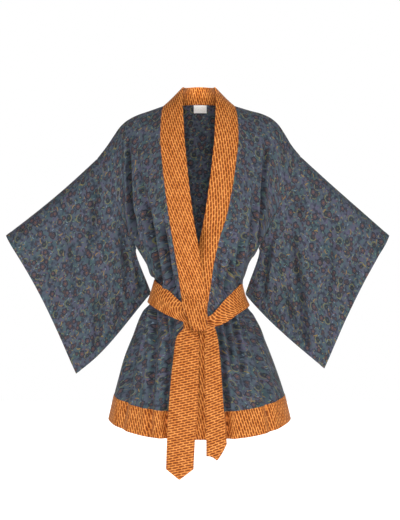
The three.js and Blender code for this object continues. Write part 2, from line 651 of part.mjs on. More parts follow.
// Sews the armhole: down the front from the shoulder to just above the armpit, then the back.
function sewArmhole(sideName) {
  const sleeve = sleeves[sideName];
  const loop = 2 * (UPPER_ROWS + FREE_EDGE_ROWS);
  const backColumn = sideName === "right" ? 2 * BACK_HALF_COLUMNS : 0;
  const sleeveEdge = sleeve.column(0, 0, loop - 1);
  const last = UPPER_ROWS - 1;
  const ridge = fronts[sideName].normals[FRONT_COLUMNS][0].clone().add(sleeve.normals[0][0]).normalize();
  sew(fronts[sideName].column(FRONT_COLUMNS, 1, last), sleeveEdge.slice(1, last + 1));
  sew(back.column(backColumn, last, 1), sleeveEdge.slice(loop - last, loop));
  for (const [panel, i] of [[fronts[sideName], FRONT_COLUMNS], [back, backColumn], [sleeve, 0]]) {
    panel.normals[i][0] = ridge.clone();
  }
  drawBack([...fronts[sideName].column(FRONT_COLUMNS, 0, last).slice(0, 1), ...back.column(backColumn, 0, last).slice(0, 1)]);
  drawBack(sleeveEdge.slice(0, 1));
  drawBack(sleeveEdge.slice(UPPER_ROWS, loop - last), SEAM_GAP * 3);
}

// Neckband

// A point of the neckband beside a front: w runs from the seam (0) to the free edge (1).
function bandPoint(sideName, level, w) {
  const sign = SIDE_SIGN[sideName];
  const seam = frontPoint(sideName, 0, level);
  const x = seam.x - sign * read(BAND, level, sideName) * w;
  const z = seam.z + read(BAND, level, "up") * w;
  if (level < 0) return new THREE.Vector3(x, seam.y - read(BAND, level, "forward") * w, z);
  const y = -frontDepth(x, z);
  const lap = SHINGLE * read(BAND, level, "lap") * w;
  const tuck = read(BAND, level, "tuck") * w * w;
  return new THREE.Vector3(x, sideName === "left" ? y - lap : y + lap + tuck, z);
}

// A point of the neckband behind the neck, from the middle of the back (0) to the shoulder (1).
function collarPoint(sign, t, w) {
  const angle = (t * Math.PI) / 2;
  const top = new THREE.Vector3(
    sign * NECK_TOP.halfWidth * Math.sin(angle),
    mix(NECK_TOP.front, NECK_TOP.back, Math.cos(angle)),
    mix(NECK_TOP.sideRise, NECK_TOP.backRise, Math.cos(angle) ** 2),
  );
  return neckSeamPoint(sign, t).lerp(top, w);
}

const BAND_ACROSS = 3;
const ALL_LEVELS = [...LEVELS, ...BORDER_ROWS.slice(1)];

function neckbandPanel() {
  const across = (stationPoint) => Array.from({ length: BAND_ACROSS + 1 }, (_, k) => stationPoint(k / BAND_ACROSS));
  const down = (sideName) => ALL_LEVELS.map((level) => across((w) => (
    level === -1 ? collarPoint(SIDE_SIGN[sideName], 1, w) : bandPoint(sideName, level, w)
  )));
  const behind = [];
  for (let k = 1 - NECK_COLUMNS; k <= NECK_COLUMNS - 1; k++) {
    behind.push(across((w) => collarPoint(k < 0 ? -1 : 1, Math.abs(k) / NECK_COLUMNS, w)));
  }
  return new Panel([...down("left").reverse(), ...behind, ...down("right")], 1);
}

const neckband = neckbandPanel();

function sewNeckband() {
  const rows = ALL_LEVELS.length;
  const levels = LEVELS.length;
  const borderRows = BORDER_ROWS.length;
  const seam = neckband.row(0);
  const leftFall = seam.slice(0, rows).reverse();
  const collar = seam.slice(rows, rows + 2 * NECK_COLUMNS - 1);
  const rightFall = seam.slice(rows + 2 * NECK_COLUMNS - 1);
  for (const [sideName, fall] of [["left", leftFall], ["right", rightFall]]) {
    const front = fronts[sideName].column(0);
    sew(front.slice(1), fall.slice(1, levels));
    sewNeckPoint(sideName, fall[0]);
    const border = borders[sideName].column(0);
    for (let j = 1; j < borderRows; j++) sew([border[j]], [fall[levels - 1 + j]]);
    drawBack(border.slice(0, 1));
  }
  sew(back.row(0, BACK_HALF_COLUMNS - NECK_COLUMNS + 1, BACK_HALF_COLUMNS + NECK_COLUMNS - 1), collar);
}

// Where the shoulder line meets the neckband, three pieces share one normal.
function sewNeckPoint(sideName, station) {
  const front = fronts[sideName];
  const backColumn = BACK_HALF_COLUMNS + SIDE_SIGN[sideName] * NECK_COLUMNS;
  const shared = front.normals[0][0].clone().add(neckband.normals[station.i][station.j]).normalize();
  front.normals[0][0] = shared.clone();
  back.normals[backColumn][0] = shared.clone();
  neckband.normals[station.i][station.j] = shared.clone();
  front.points[0][0].x += SIDE_SIGN[sideName] * SEAM_GAP / 2;
  back.points[backColumn][0].x += SIDE_SIGN[sideName] * SEAM_GAP / 2;
  drawBack([station]);
}

// Belt

// The belt runs round the body from the middle of the back, on the points of the body's rings.
function beltPanel() {
  const ringPoints = (level) => {
    const quarter = 12;
    const points = [];
    for (let k = 0; k < 4 * quarter; k++) {
      const angle = (k * Math.PI) / (2 * quarter);
      const onBack = Math.cos(angle) > 0;
      const sign = Math.sin(angle) < 0 ? -1 : 1;
      const fromMiddle = Math.asin(Math.min(1, Math.abs(Math.sin(angle))));
      points.push(ringPoint(onBack ? "back" : "front", sign, level, fromMiddle));
    }
    return points;
  };
  const panel = new Panel(BELT_ROWS.map(ringPoints), 1, true);
  return panel.press(() => -(BELT_OFFSET + DOUBLED));
}

// Belt ends

function endPanel(table, tip, leftCornerZ, rightCornerZ) {
  const top = table[0].at;
  const bottom = Math.min(leftCornerZ, rightCornerZ);
  const count = Math.round((top - bottom) / END_ROW_STEP);
  const acrossCount = 4;
  const points = [];
  for (let i = 0; i <= acrossCount; i++) {
    const share = i / acrossCount;
    const cornerZ = mix(leftCornerZ, rightCornerZ, share);
    const column = [];
    for (let j = 0; j <= count; j++) {
      const z = mix(top, cornerZ, j / count);
      column.push(endPoint(table, z, share));
    }
    const last = column[count];
    const left = read(table, leftCornerZ, "left");
    const right = read(table, rightCornerZ, "right");
    const tipShare = (tip.x - left) / (right - left);
    const reach = share <= tipShare ? share / tipShare : (1 - share) / (1 - tipShare);
    last.z = mix(cornerZ, tip.z, reach);
    points.push(column);
  }
  return new Panel(points, 1);
}

function endPoint(table, z, share) {
  const x = mix(read(table, z, "left"), read(table, z, "right"), share);
  const overBand = THREE.MathUtils.clamp((x + 36) / 60, 0, 1);
  const y = -(frontDepth(x, z) + END_LAY + SHINGLE * overBand + DOUBLED);
  return new THREE.Vector3(x, y, z);
}

// Knot

// A flat-backed wrap of cloth over the crossing of the belt.
function knotGeometry() {
  const positions = [];
  const ring = (row) => {
    const centre = (row.left + row.right) / 2;
    const half = (row.right - row.left) / 2;
    for (let k = 0; k < KNOT_SIDES; k++) {
      const angle = (Math.PI * k) / (KNOT_SIDES - 1);
      const x = centre - half * Math.cos(angle);
      const rib = 1 - 0.12 * Math.abs(Math.sin(3 * angle)) ** 3;
      positions.push(x, -row.back - row.thick * Math.max(Math.sin(angle), 0) ** 0.6 * rib, row.at);
    }
  };
  KNOT.forEach(ring);
  const rings = KNOT.length;
  const at = (r, k) => r * KNOT_SIDES + k;
  const index = [];
  const quad = (a, b, c, d) => index.push(a, b, c, a, c, d);
  for (let r = 0; r < rings - 1; r++) {
    for (let k = 0; k < KNOT_SIDES; k++) {
      const next = (k + 1) % KNOT_SIDES;
      quad(at(r, k), at(r + 1, k), at(r + 1, next), at(r, next));
    }
  }
  for (let k = 1; k < KNOT_SIDES - 1; k++) {
    index.push(at(0, 0), at(0, k), at(0, k + 1));
    index.push(at(rings - 1, 0), at(rings - 1, k + 1), at(rings - 1, k));
  }
  const geometry = new THREE.BufferGeometry();
  geometry.setAttribute("position", new THREE.Float32BufferAttribute(positions, 3));
  geometry.setIndex(index);
  geometry.computeVertexNormals();
  return geometry;
}

// Label

// A blank woven label that hangs inside the back, just below the neck seam.
function labelPanel() {
  const across = 4;
  const down = 2;
  const half = back.columns >> 1;
  const insideAt = (x, below) => {
    const share = THREE.MathUtils.clamp(x / NECK_SEAM.halfWidth, -1, 1);
    const seam = neckSeamPoint(x < 0 ? -1 : 1, Math.asin(Math.abs(share)) / (Math.PI / 2));
    const next = back.points[half][2];
    const slope = (next.y - back.points[half][0].y) / (back.points[half][0].z - next.z);
    return new THREE.Vector3(x, seam.y + slope * below - CLOTH - LAY_GAP - 0.6, seam.z - below);
  };
  const points = Array.from({ length: across + 1 }, (_, i) => (
    Array.from({ length: down + 1 }, (__, j) => insideAt(
      LABEL.x + LABEL.width * (i / across - 0.5),
      LABEL.below + (LABEL.height * j) / down,
    ))
  ));
  return new Panel(points, -1);
}

// Sewing and walls

const sides = ["left", "right"];
const backSideColumn = { left: 0, right: 2 * BACK_HALF_COLUMNS };

setRidgeNormals();
drawBack(fronts.left.row(0));
drawBack(fronts.right.row(0));
drawBack(back.row(0, 0, BACK_HALF_COLUMNS - NECK_COLUMNS));
drawBack(back.row(0, BACK_HALF_COLUMNS + NECK_COLUMNS, 2 * BACK_HALF_COLUMNS));
for (const sideName of sides) {
  sewArmhole(sideName);
  const backColumn = backSideColumn[sideName];
  sew(fronts[sideName].column(FRONT_COLUMNS, UPPER_ROWS), back.column(backColumn, UPPER_ROWS));
  sew(borders[sideName].column(FRONT_COLUMNS), backBorder.column(backColumn));
  sew(fronts[sideName].row(LEVELS.length - 1), borders[sideName].row(0));
}
sew(back.row(LEVELS.length - 1), backBorder.row(0));
sewNeckband();

for (const sideName of sides) {
  addWall(`front_${sideName}`, fronts[sideName], CLOTH, "print");
  addWall(`sleeve_${sideName}`, sleeves[sideName], CLOTH, "print");
  addWall(`hem_border_front_${sideName}`, borders[sideName], CLOTH, "contrast");
}
addWall("back", back, CLOTH, "print");
addWall("hem_border_back", backBorder, CLOTH, "contrast");
addWall("neckband", neckband, DOUBLED, "contrast");
addWall("belt_waist", beltPanel(), DOUBLED, "contrast");
addWall("belt_end_long", endPanel(LONG_END, LONG_END_TIP, -878, -876), DOUBLED, "contrast");
addWall("belt_end_short", endPanel(SHORT_END, SHORT_END_TIP, SHORT_END_TIP.leftCornerZ, -816), DOUBLED, "contrast");
addMesh("belt_knot", knotGeometry(), "contrast");
addWall("label", labelPanel(), LABEL.thickness, "label");

export default robe;
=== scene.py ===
# A short kimono robe in worn form with nobody in it: thin printed cloth, a contrast neckband that
# runs down both fronts, a contrast hem border and a tied belt with two pointed ends.
# The tables are in millimetres, in the frame's own axes: +X is the right of someone who looks at
# the front, -Y is the front and +Z is up. Meshes and cloth maps are written in metres.

import math

import bpy
import numpy as np
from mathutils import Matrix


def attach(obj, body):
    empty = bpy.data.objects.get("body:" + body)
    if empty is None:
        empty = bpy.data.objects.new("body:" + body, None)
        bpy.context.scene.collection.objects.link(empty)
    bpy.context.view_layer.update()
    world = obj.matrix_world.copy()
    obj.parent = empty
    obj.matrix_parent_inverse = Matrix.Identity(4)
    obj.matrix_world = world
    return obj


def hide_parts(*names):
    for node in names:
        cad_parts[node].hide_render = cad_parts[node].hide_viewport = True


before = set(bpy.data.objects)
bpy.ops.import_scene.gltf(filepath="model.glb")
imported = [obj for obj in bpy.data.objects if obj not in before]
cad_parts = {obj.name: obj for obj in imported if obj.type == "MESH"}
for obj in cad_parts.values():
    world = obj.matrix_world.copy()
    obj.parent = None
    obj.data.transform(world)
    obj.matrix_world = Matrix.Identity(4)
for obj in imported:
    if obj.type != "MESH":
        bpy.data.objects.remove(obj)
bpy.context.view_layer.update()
bpy.ops.object.select_all(action="DESELECT")

MM = 0.001


def table(columns, *rows):
    """A table as one array for each named column, in rising order of its first one."""
    values = np.array(rows, float)
    if values[0, 0] > values[-1, 0]:
        values = values[::-1]
    return {name: values[:, i] for i, name in enumerate(columns.split())}


def rows_of(columns, *rows):
    """A table as one dictionary for each row."""
    return [dict(zip(columns.split(), row)) for row in rows]


# Cloth and seams
PRINTED = 1.1  # thickness of the body and sleeve cloth
DOUBLED = 2.2  # thickness of the neckband and belt, each folded double
BORDER = 1.6  # thickness of the hem border over the cloth
DOUBLED_STAND = 2.4  # from where a belt or its ends lie to their outer face
BAND_RISE = 0.9  # how far the contrast pieces stand over the printed cloth
SHINGLE = 3.6  # how far the upper half of the neckband lies over the lower half
BELT_OFFSET = 4.8  # from the gathered cloth to the inner face of the belt
BLOUSE = {"out": 6.2, "level": 0.398, "reach": 0.028}  # the cloth puffs out just over the belt
END_LAY = 1.9  # from the body cloth to the belt ends
CUFF_HEM = 14
HEM_STEP = {"rise": 0.5, "over": 1.5}  # the turned cuff stands a little over the sleeve
FOLD_ROLL = {"reach": 2.5, "fall": 1.2}  # how the belt's folded edges round off
BAND_ROLL = {"reach": 2.5, "fall": 1.4}  # the same for the neckband
JOIN_ROLL = {"reach": 2.0, "fall": 0.7}  # the neckband's seams at the shoulders
STITCH = {"pitch": 4.2, "length": 3.0, "width": 0.55, "height": 0.4}
STITCH_INSET = {"contrast": 3, "cuff": CUFF_HEM - 1.5, "label": 1.2}
SHARP_ANGLE = 50  # degrees over which an edge of the cloth stays sharp

# Shoulders and neck
SHOULDER_END_X = 253
NECK_SEAM = {"half_width": 83, "back": 90, "rise": 12}
NECK_TOP = {"half_width": 38, "front": -4, "back": 58, "side_rise": 46, "back_rise": 53.5}
NECK_SHARE = 6 / 17  # of one half of the back, the part that starts at the neck seam
ARMHOLE_DEPTH = {"front": 48, "back": 44}
ARMHOLE_ARCH = 0.8  # how round the armhole is: the body and the sleeve share it
SIDE_SIGN = {"left": -1, "right": 1}
HALVINGS = 22  # steps of the search for a place on the body

# Height of the shoulder line on its way from the neck (0) to the sleeve (1)
SHOULDER_LINE = table(
    "at left right",
    (0, 0, 0),
    (0.25, -14.5, -12.5),
    (0.4, -23, -19),
    (0.55, -36, -30),
    (0.66, -52, -45),
    (0.76, -76, -69),
    (0.86, -101, -97),
    (1, -132, -127),
)

# Sections of the body from the armpit (0) past the hem seam (1): half widths, depths from the
# middle, heights at the middle and the side, roundness of the ring and how late it turns up
BODY = table(
    "at left right front back front_mid back_mid side round bend",
    (0.0, 155, 148, 112, 100, -240, -235, -356, 2.2, 2.0),
    (0.18, 133, 126, 111, 97, -320, -312, -390, 2.2, 1.9),
    (0.34, 115, 112, 101, 91, -430, -408, -424, 2.1, 1.6),
    (0.42, 105, 101, 91, 82, -489, -440, -432, 2.0, 1.3),
    (0.47, 114, 109, 90, 82, -515, -466, -465, 2.0, 1.3),
    (0.52, 123, 121, 93, 86, -540, -493, -492, 2.0, 1.4),
    (0.56, 140, 137, 102, 98, -562, -518, -514, 2.0, 1.6),
    (0.67, 167, 163, 119, 119, -618, -588, -578, 2.1, 2.0),
    (0.83, 192, 191, 130, 131, -684, -664, -650, 2.1, 2.6),
    (1.0, 212, 214, 138, 139, -742, -735, -719, 2.1, 3.0),
    (1.12, 226, 229, 143, 145, -807, -799, -779, 2.1, 3.4),
)
HEM_SEAM = 1.0
HEM = 1.12
BELT_TOP = 0.42
BELT_BOTTOM = 0.52

# How much lower the tied belt draws the front, from the left side (-1) to the right side (1),
# and over which stretch of the body that fades out
PULL_FADE = {"above": 0.16, "below": 0.2}
KNOT_PULL = table(
    "at top bottom",
    (-1, -1, 1),
    (-0.7, 0, 0),
    (-0.38, -10, 0),
    (-0.15, -17, 0),
    (0.05, -25, -3),
    (0.23, -35, -10),
    (0.4, -28, -14),
    (0.6, -16, -12),
    (0.8, -10, -8),
    (1, -7, -8),
)

# Distance from the middle line to the seam between each front and the neckband
BAND_SEAM = table(
    "at left right",
    (-1.0, 84, 84),
    (-0.75, 92, 93),
    (-0.5, 94, 96),
    (-0.25, 87, 87),
    (0.0, 74, 69),
    (0.18, 63, 49),
    (0.34, 48, 28),
    (0.42, 42, 18),
    (0.52, 38, 22),
    (0.67, 34, 26),
    (1.0, 30, 30),
    (1.12, 30, 30),
)

# The neckband from its seam to its free edge: widths as seen from the front, how far it comes
# forward, how far the free edge rises, the share of the shingle and how far the lower half
# turns in behind the upper one
BAND = table(
    "at left right forward up lap tuck",
    (-1.0, 45, 45, 4, 46, 0, 0),
    (-0.875, 49, 49, 7, 34, 0, 0),
    (-0.75, 52, 52, 9, 27, 0, 0),
    (-0.625, 55, 55, 11, 19, 0, 0),
    (-0.5, 58, 58, 12, 13, 0, 0),
    (-0.25, 59, 57, 10, 8, 0, 0),
    (0.0, 58, 53, 10, 8, 0, 4),
    (0.1, 58, 49, 10, 8, 0.5, 14),
    (0.2, 59, 46, 10, 7, 1, 24),
    (0.32, 59, 56, 10, 4, 1, 8),
    (0.4, 60, 60, 10, 1, 1, 0),
    (0.52, 60, 60, 10, 0, 1, 0),
    (1.12, 60, 60, 10, 0, 1, 0),
)

# The main creases, seen from the front (the back's too, through the robe): from x0, z0 to x1, z1,
# bowed sideways in the middle, pressed in by depth (a ridge has a negative one) over a half
# width, with a lip beside it, and the share of the depth that is left at each end
CREASE = "x0 z0 x1 z1 bow depth width lip top bottom"
CREASE_FADE = 0.45  # the share of its length over which a crease reaches its full depth
CREASE_END = 1.6  # how far it runs out past each end, in half widths
LIP_PLACE = 1.9  # how far from its middle the lips stand, in half widths
SEAM_FADE = {"reach": 9, "power": 0.7}  # creases end within a ninth of the width at a seam
FRONT_CREASES = rows_of(
    CREASE,
    (-172, -93, -164, -262, -2, 26, 5, 0.25, 0.4, 1.0),
    (-166, -240, -149, -360, 0, 28, 6.5, 0.3, 0.7, 0.9),
    (-150, -124, -138, -262, 2, 8, 4.5, 0.2, 0.0, 0.1),
    (-162, -118, -137, -262, 1, -4, 7, 0.0, 0.0, 0.2),
    (-137, -206, -94, -444, 2, 34, 7, 0.2, 0.2, 0.9),
    (-94, -266, -65, -446, 0, 25, 5.5, 0.15, 0.1, 0.9),
    (-119, -318, -96, -440, 1, -4, 6, 0.0, 0.0, 0.6),
    (-124, -352, -106, -448, 0, 9, 4, 0.2, 0.0, 0.9),
    (-60, -352, -54, -470, 0, 8, 4, 0.2, 0.0, 0.9),
    (164, -112, 148, -350, -2, 20, 4.5, 0.3, 0.5, 0.8),
    (140, -190, 126, -392, -2, 12, 5, 0.2, 0.0, 0.6),
    (112, -292, 90, -432, -2, 14, 5.5, 0.3, 0.0, 0.9),
    (86, -356, 62, -462, -1, 13, 4.5, 0.3, 0.0, 1.0),
    (58, -330, 42, -470, 0, 9, 4.5, 0.2, 0.0, 0.8),
    (100, -378, 96, -436, 0, 9, 4, 0.2, 0.0, 1.0),
    (-124, -488, -158, -650, -4, 15, 6, 0.3, 1.0, 0.0),
    (-109, -496, -112, -600, 0, 17, 5, 0.3, 1.0, 0.0),
    (-94, -506, -118, -790, -6, 14, 7, 0.3, 0.9, 0.7),
    (-80, -514, -76, -616, 0, 13, 4.5, 0.2, 1.0, 0.0),
    (-64, -528, -82, -820, -3, 16, 6.5, 0.25, 0.9, 0.9),
    (-142, -520, -190, -800, -4, 14, 9, 0.3, 0.6, 0.4),
    (48, -548, 72, -820, 3, 16, 6.5, 0.25, 0.9, 0.9),
    (64, -536, 82, -650, 2, 13, 5, 0.2, 1.0, 0.0),
    (82, -520, 114, -720, 4, 14, 6.5, 0.3, 1.0, 0.1),
    (98, -512, 112, -590, 1, 11, 4.5, 0.2, 1.0, 0.0),
    (112, -500, 176, -800, 6, 14, 8, 0.3, 0.7, 0.4),
    (128, -500, 156, -620, 2, 12, 5, 0.2, 1.0, 0.0),
)
# Between the belt ends the neckband sinks in two narrow folds and a wide hollow, and all the
# cloth is pinched under the knot
STRIP_CREASES = rows_of(
    CREASE,
    (-4, -548, -3, -880, 0, 5, 3.5, 0.1, 1.0, 0.9),
    (11, -548, 11, -880, 0, 6, 3.5, 0.1, 1.0, 0.9),
    (4, -560, 4, -880, 0, 4, 10, 0.0, 0.6, 1.0),
)
STRIP_IN_FRONT_OF = -70
PINCH = rows_of(
    CREASE,
    (-17, -543, -4, -566, 0, 6, 4.0, 0.1, 1.0, 0.5),
)
BACK_CREASES = rows_of(
    CREASE,
    (-172, -112, -150, -345, 5, 13, 10, 0.3, 0.0, 0.8),
    (-128, -226, -100, -432, 4, 9, 8, 0.3, 0.0, 0.9),
    (-84, -296, -70, -430, 2, 6, 7, 0.2, 0.0, 1.0),
    (-48, -240, -40, -430, 1, 7, 8, 0.3, 0.0, 0.9),
    (-14, -318, -16, -434, 0, 5, 6, 0.2, 0.0, 1.0),
    (26, -268, 20, -434, -1, 8, 8, 0.3, 0.0, 0.9),
    (58, -322, 50, -430, 0, 5, 6, 0.2, 0.0, 1.0),
    (104, -252, 80, -430, -3, 9, 8, 0.3, 0.0, 0.8),
    (168, -108, 148, -340, -5, 11, 10, 0.3, 0.0, 0.8),
    (-112, -486, -158, -720, -5, 10, 11, 0.3, 1.0, 0.2),
    (-88, -490, -96, -590, -1, 6, 7, 0.2, 1.0, 0.0),
    (-62, -494, -88, -800, -4, 10, 11, 0.3, 1.0, 0.6),
    (-34, -496, -38, -600, 0, 6, 6, 0.2, 1.0, 0.0),
    (-8, -497, -12, -790, 2, 9, 11, 0.3, 1.0, 0.5),
    (18, -497, 26, -640, 1, 6, 7, 0.2, 1.0, 0.0),
    (44, -495, 66, -810, 4, 10, 11, 0.3, 1.0, 0.7),
    (70, -493, 82, -610, 1, 6, 7, 0.2, 1.0, 0.0),
    (96, -489, 138, -760, 5, 10, 11, 0.3, 1.0, 0.4),
    (118, -486, 156, -640, 3, 7, 8, 0.2, 1.0, 0.0),
)
SLEEVE_CREASES = {
    "left": rows_of(
        CREASE,
        (-246, -160, -263, -420, -5, 14, 8, 0.3, 0.6, 0.0),
        (-200, -236, -178, -470, 4, 15, 8, 0.3, 0.2, 0.3),
        (-168, -330, -146, -450, 2, 12, 6, 0.2, 0.3, 0.8),
        (-322, -240, -300, -560, 8, 10, 12, 0.3, 0.0, 0.2),
        (-250, -400, -256, -612, 3, 12, 9, 0.3, 0.0, 1.0),
        (-206, -470, -190, -548, 2, 12, 8, 0.2, 0.0, 1.0),
        (-382, -330, -340, -540, 6, 9, 12, 0.2, 0.0, 0.1),
        (-430, -262, -440, -330, 2, 9, 8, 0.2, 0.6, 0.0),
        (-222, -420, -226, -560, 2, -4, 14, 0.0, 0.0, 0.6),
    ),
    "right": rows_of(
        CREASE,
        (220, -258, 268, -606, 4, 16, 8, 0.3, 0.4, 1.0),
        (186, -300, 160, -470, -4, 14, 7, 0.3, 0.2, 0.6),
        (252, -186, 244, -330, -2, 11, 8, 0.2, 0.3, 0.0),
        (330, -260, 318, -560, -6, 10, 12, 0.3, 0.0, 0.3),
        (206, -440, 232, -540, 0, 10, 8, 0.2, 0.0, 0.9),
        (392, -330, 358, -540, -5, 10, 12, 0.2, 0.0, 0.2),
        (430, -318, 440, -372, 0, 10, 9, 0.2, 0.5, 0.3),
        (262, -420, 306, -560, 3, -4, 14, 0.0, 0.0, 0.5),
    ),
}

# Each sleeve seen from the front, and how far its edges sag or draw in
SLEEVES = {
    "left": {
        "wrist": (-476, -322), "outer": (-308, -668), "armpit": (-155, -356), "inner": (-121, -468),
        "top_sag": 6, "lower_sag": 15, "lowest": 0.6, "cuff_draw": 12,
    },
    "right": {
        "wrist": (469, -322), "outer": (314, -655), "armpit": (148, -356), "inner": (117, -470),
        "top_sag": 1, "lower_sag": 10, "lowest": 0.38, "cuff_draw": 9,
    },
}
ARM = {"shoulder_radius": 45, "wrist_radius": 38, "forward": 25, "fall": 125, "fall_power": 1.6}
ARMHOLE_TURN = 0.62  # the share of each half of a sleeve that is sewn to the armhole
SLEEVE_LAYER = 4  # half the distance between the two layers where the sleeve hangs flat
LAYERS_MEET = 12  # the layers draw together over the last twelfth of the way down
ARMHOLE_REACH = 0.4  # the share of a sleeve's length over which it leaves the armhole's form
CUFF_POWER = 0.7  # where the cuff is drawn in most: under 1 is nearer the wrist
INNER_CORNER_BACK = 30
GAP_BOW = 6  # how far a sleeve's edge under the arm bows away from the body
GAP_POWER = 0.45  # where it bows most: under 1 is nearer the armpit

# Where a sleeve's creases fade out, as shares of its length and of its half way round
SLEEVE_FADE = {"armhole": 0.08, "top": 0.15, "lower": 0.12, "behind_from": 0.2, "behind_over": 0.4}

# Belt ends: height, left and right edge
LONG_END = table(
    "at left right",
    (-546, -38, -5),
    (-557, -49, -2),
    (-575, -57, 1),
    (-600, -60, 0),
    (-663, -67, -1),
    (-740, -73, -3),
    (-799, -76, -9),
    (-878, -79, -13),
)
LONG_END_TIP = {"x": -47, "z": -903, "left_z": -878, "right_z": -876}
SHORT_END = table(
    "at left right",
    (-541, 15, 38),
    (-553, 15, 42),
    (-575, 15, 46.5),
    (-640, 14, 53),
    (-686, 14, 56),
    (-731, 15, 59),
    (-797, 17, 65),
    (-816, 17.5, 66.5),
)
SHORT_END_TIP = {"x": 43, "z": -856, "left_z": -845, "right_z": -816}
BAND_STEP = {"left_x": -36, "over": 60}  # where the ends climb on to the upper half of the neckband
EDGE_FADE = {"belt": 8, "end": 6}  # how near to an edge the creases of the belt start

# Knot from its top to its pinched foot: edges, distance of its edges from the middle of the
# body and how far its face stands over them
KNOT = table(
    "at left right back thick",
    (-474, -40, 17, 95.5, 2.5),
    (-485, -41, 17, 97.0, 6.0),
    (-500, -38, 17, 99.6, 11.0),
    (-518, -30, 19, 100.5, 15.5),
    (-534, -22, 20, 101.5, 17.5),
    (-545, -17, 19, 102.5, 14.0),
    (-551, -12, 15, 103.0, 7.0),
)
KNOT_ROUND = 0.6  # under 1 the wrap's face is flatter than a half circle

# The wrap's pleats: their place round it, from its left edge (0) to its right one (pi), and depth.
# They deepen and draw together down to its foot
KNOT_PLEATS = ((0.75, 2.2), (1.15, 3.2), (1.6, 2.6), (2.1, 3.4), (2.55, 1.8))
PLEAT = {"half_width": 0.13, "middle": 1.65, "gather": 0.25, "from_z": -490, "over": 50}

LABEL = {"x": 3, "width": 33, "height": 19.5, "below": 1.5, "thickness": 0.7, "off_back": 2.9}

# Small creases of the belt beside the knot, and of its ends below it
BELT_CREASES = rows_of(
    CREASE,
    (-98, -452, -34, -512, 3, 1.8, 5, 0.3, 0.0, 1.0),
    (-70, -486, -26, -524, -2, 2.0, 4, 0.3, 0.0, 1.0),
    (96, -452, 22, -520, -4, 1.8, 5, 0.3, 0.0, 1.0),
    (62, -492, 18, -532, 2, 2.0, 4, 0.3, 0.0, 1.0),
    (-33, -492, -22, -540, -1, 4.0, 3, 0.1, 0.6, 1.0),
    (24, -505, 24, -545, 0, 3.0, 3, 0.1, 0.6, 1.0),
)
END_CREASES = rows_of(
    CREASE,
    (-20, -546, -38, -640, 3, 3.0, 6, 0.4, 1.0, 0.0),
    (-36, -548, -54, -610, 2, 2.6, 5, 0.4, 1.0, 0.0),
    (-8, -548, -14, -600, 0, 2.2, 4, 0.4, 1.0, 0.0),
    (24, -548, 34, -620, -2, 2.6, 5, 0.4, 1.0, 0.0),
    (30, -552, 46, -590, 1, 2.0, 4, 0.4, 1.0, 0.0),
)

# The dashes of the contrast cloth: each column lies a share of the period higher than the one
# on its left, and the wobble is how far their edges waver. Then how far the dashes lean from the
# length or the upright of each piece, in degrees
DASH = {"column": 5.85, "period": 15.8, "drop": -0.39, "width": 4.1, "length": 15.0, "wobble": 2.2}
BAND_LEAN = 14
COLLAR_LEAN = 15
BELT_LEAN = 3.5
KNOT_LEAN = 15
HEM_LEAN = 15
HEM_SPREAD = 0.91  # the border's dashes stand a little wider apart than the neckband's
BELT_SPREAD = 0.87
BELT_TURN = 0.83  # the share of the belt's own slope that its dashes follow
LONG_END_LEAN = 12.8
SHORT_END_LEAN = 18.7

# The print, each kind once to a cell of the spacing: short bowed stems on a ring of the radius,
# and round flowers of the size (a radius), coloured from the middle to the rim
STEMS = rows_of(
    "spacing shift radius half_width turn colour share",
    (15, 0.31, 6.5, 0.8, 0.6, "#76734C", 0.7),
    (16, 0.83, 4.5, 0.9, 0.8, "#566F60", 0.7),
    (17, 1.27, 8.0, 0.8, 0.45, "#7C6C42", 0.7),
    (19, 1.71, 5.5, 0.9, 0.7, "#684A4A", 0.6),
    (37, 2.11, 11.0, 1.0, 0.7, "#866E3A", 0.8),
    (23, 2.63, 4.0, 0.9, 1.0, "#667684", 0.5),
    (41, 0.57, 8.5, 0.9, 2.4, "#6B6A45", 0.7),
)
FLOWERS = rows_of(
    "spacing shift size petals share stops",
    (41, 0.57, 5.4, 6, 0.7, [(0.0, "#66603C"), (0.3, "#33383A"), (0.8, "#2A3138")]),
    (18, 1.13, 2.8, 3, 0.7, [(0.0, "#513C3A"), (0.5, "#3F363D"), (0.9, "#2E343F")]),
    (
        31, 1.91, 6.6, 5, 0.85,
        [(0.0, "#86583A"), (0.18, "#66483A"), (0.34, "#413D47"), (0.58, "#50434A"), (0.82, "#222831")],
    ),
    (27, 2.37, 4.8, 5, 0.5, [(0.0, "#704C3A"), (0.28, "#3C363C"), (0.6, "#4A3E40"), (0.85, "#2A303A")]),
)
# How far motifs stray in their cells, and a layer's shift upward, as a share of that sideways
SCATTER = {"randomness": 0.85, "slant": 0.7}
PETAL_DEPTH = 0.09  # how far a flower's edge draws in between its petals, of its radius
FLOWER_SIZES = {"least": 0.75, "spread": 0.5}  # the sizes in one layer, of the size in its row
STEM_ENDS = 0.05  # a stem stops where its half width is under this
PRINT_BLUR = {"flower": 0.08, "stem": 0.35, "dash": 0.45}  # how softly each edge is printed
DASH_EDGE = 0.95

# The print's clouded ground, and its flecks: the noise at which each starts and is full, and how
# strong it is there
GROUND = [(0.3, "#3B4C54"), (0.44, "#454E5C"), (0.55, "#494D5B"), (0.7, "#514E63")]
FLECKS = (("#2B323C", 0.5, 0.64, 0.85), ("#445B58", 0.44, 0.3, 0.6))

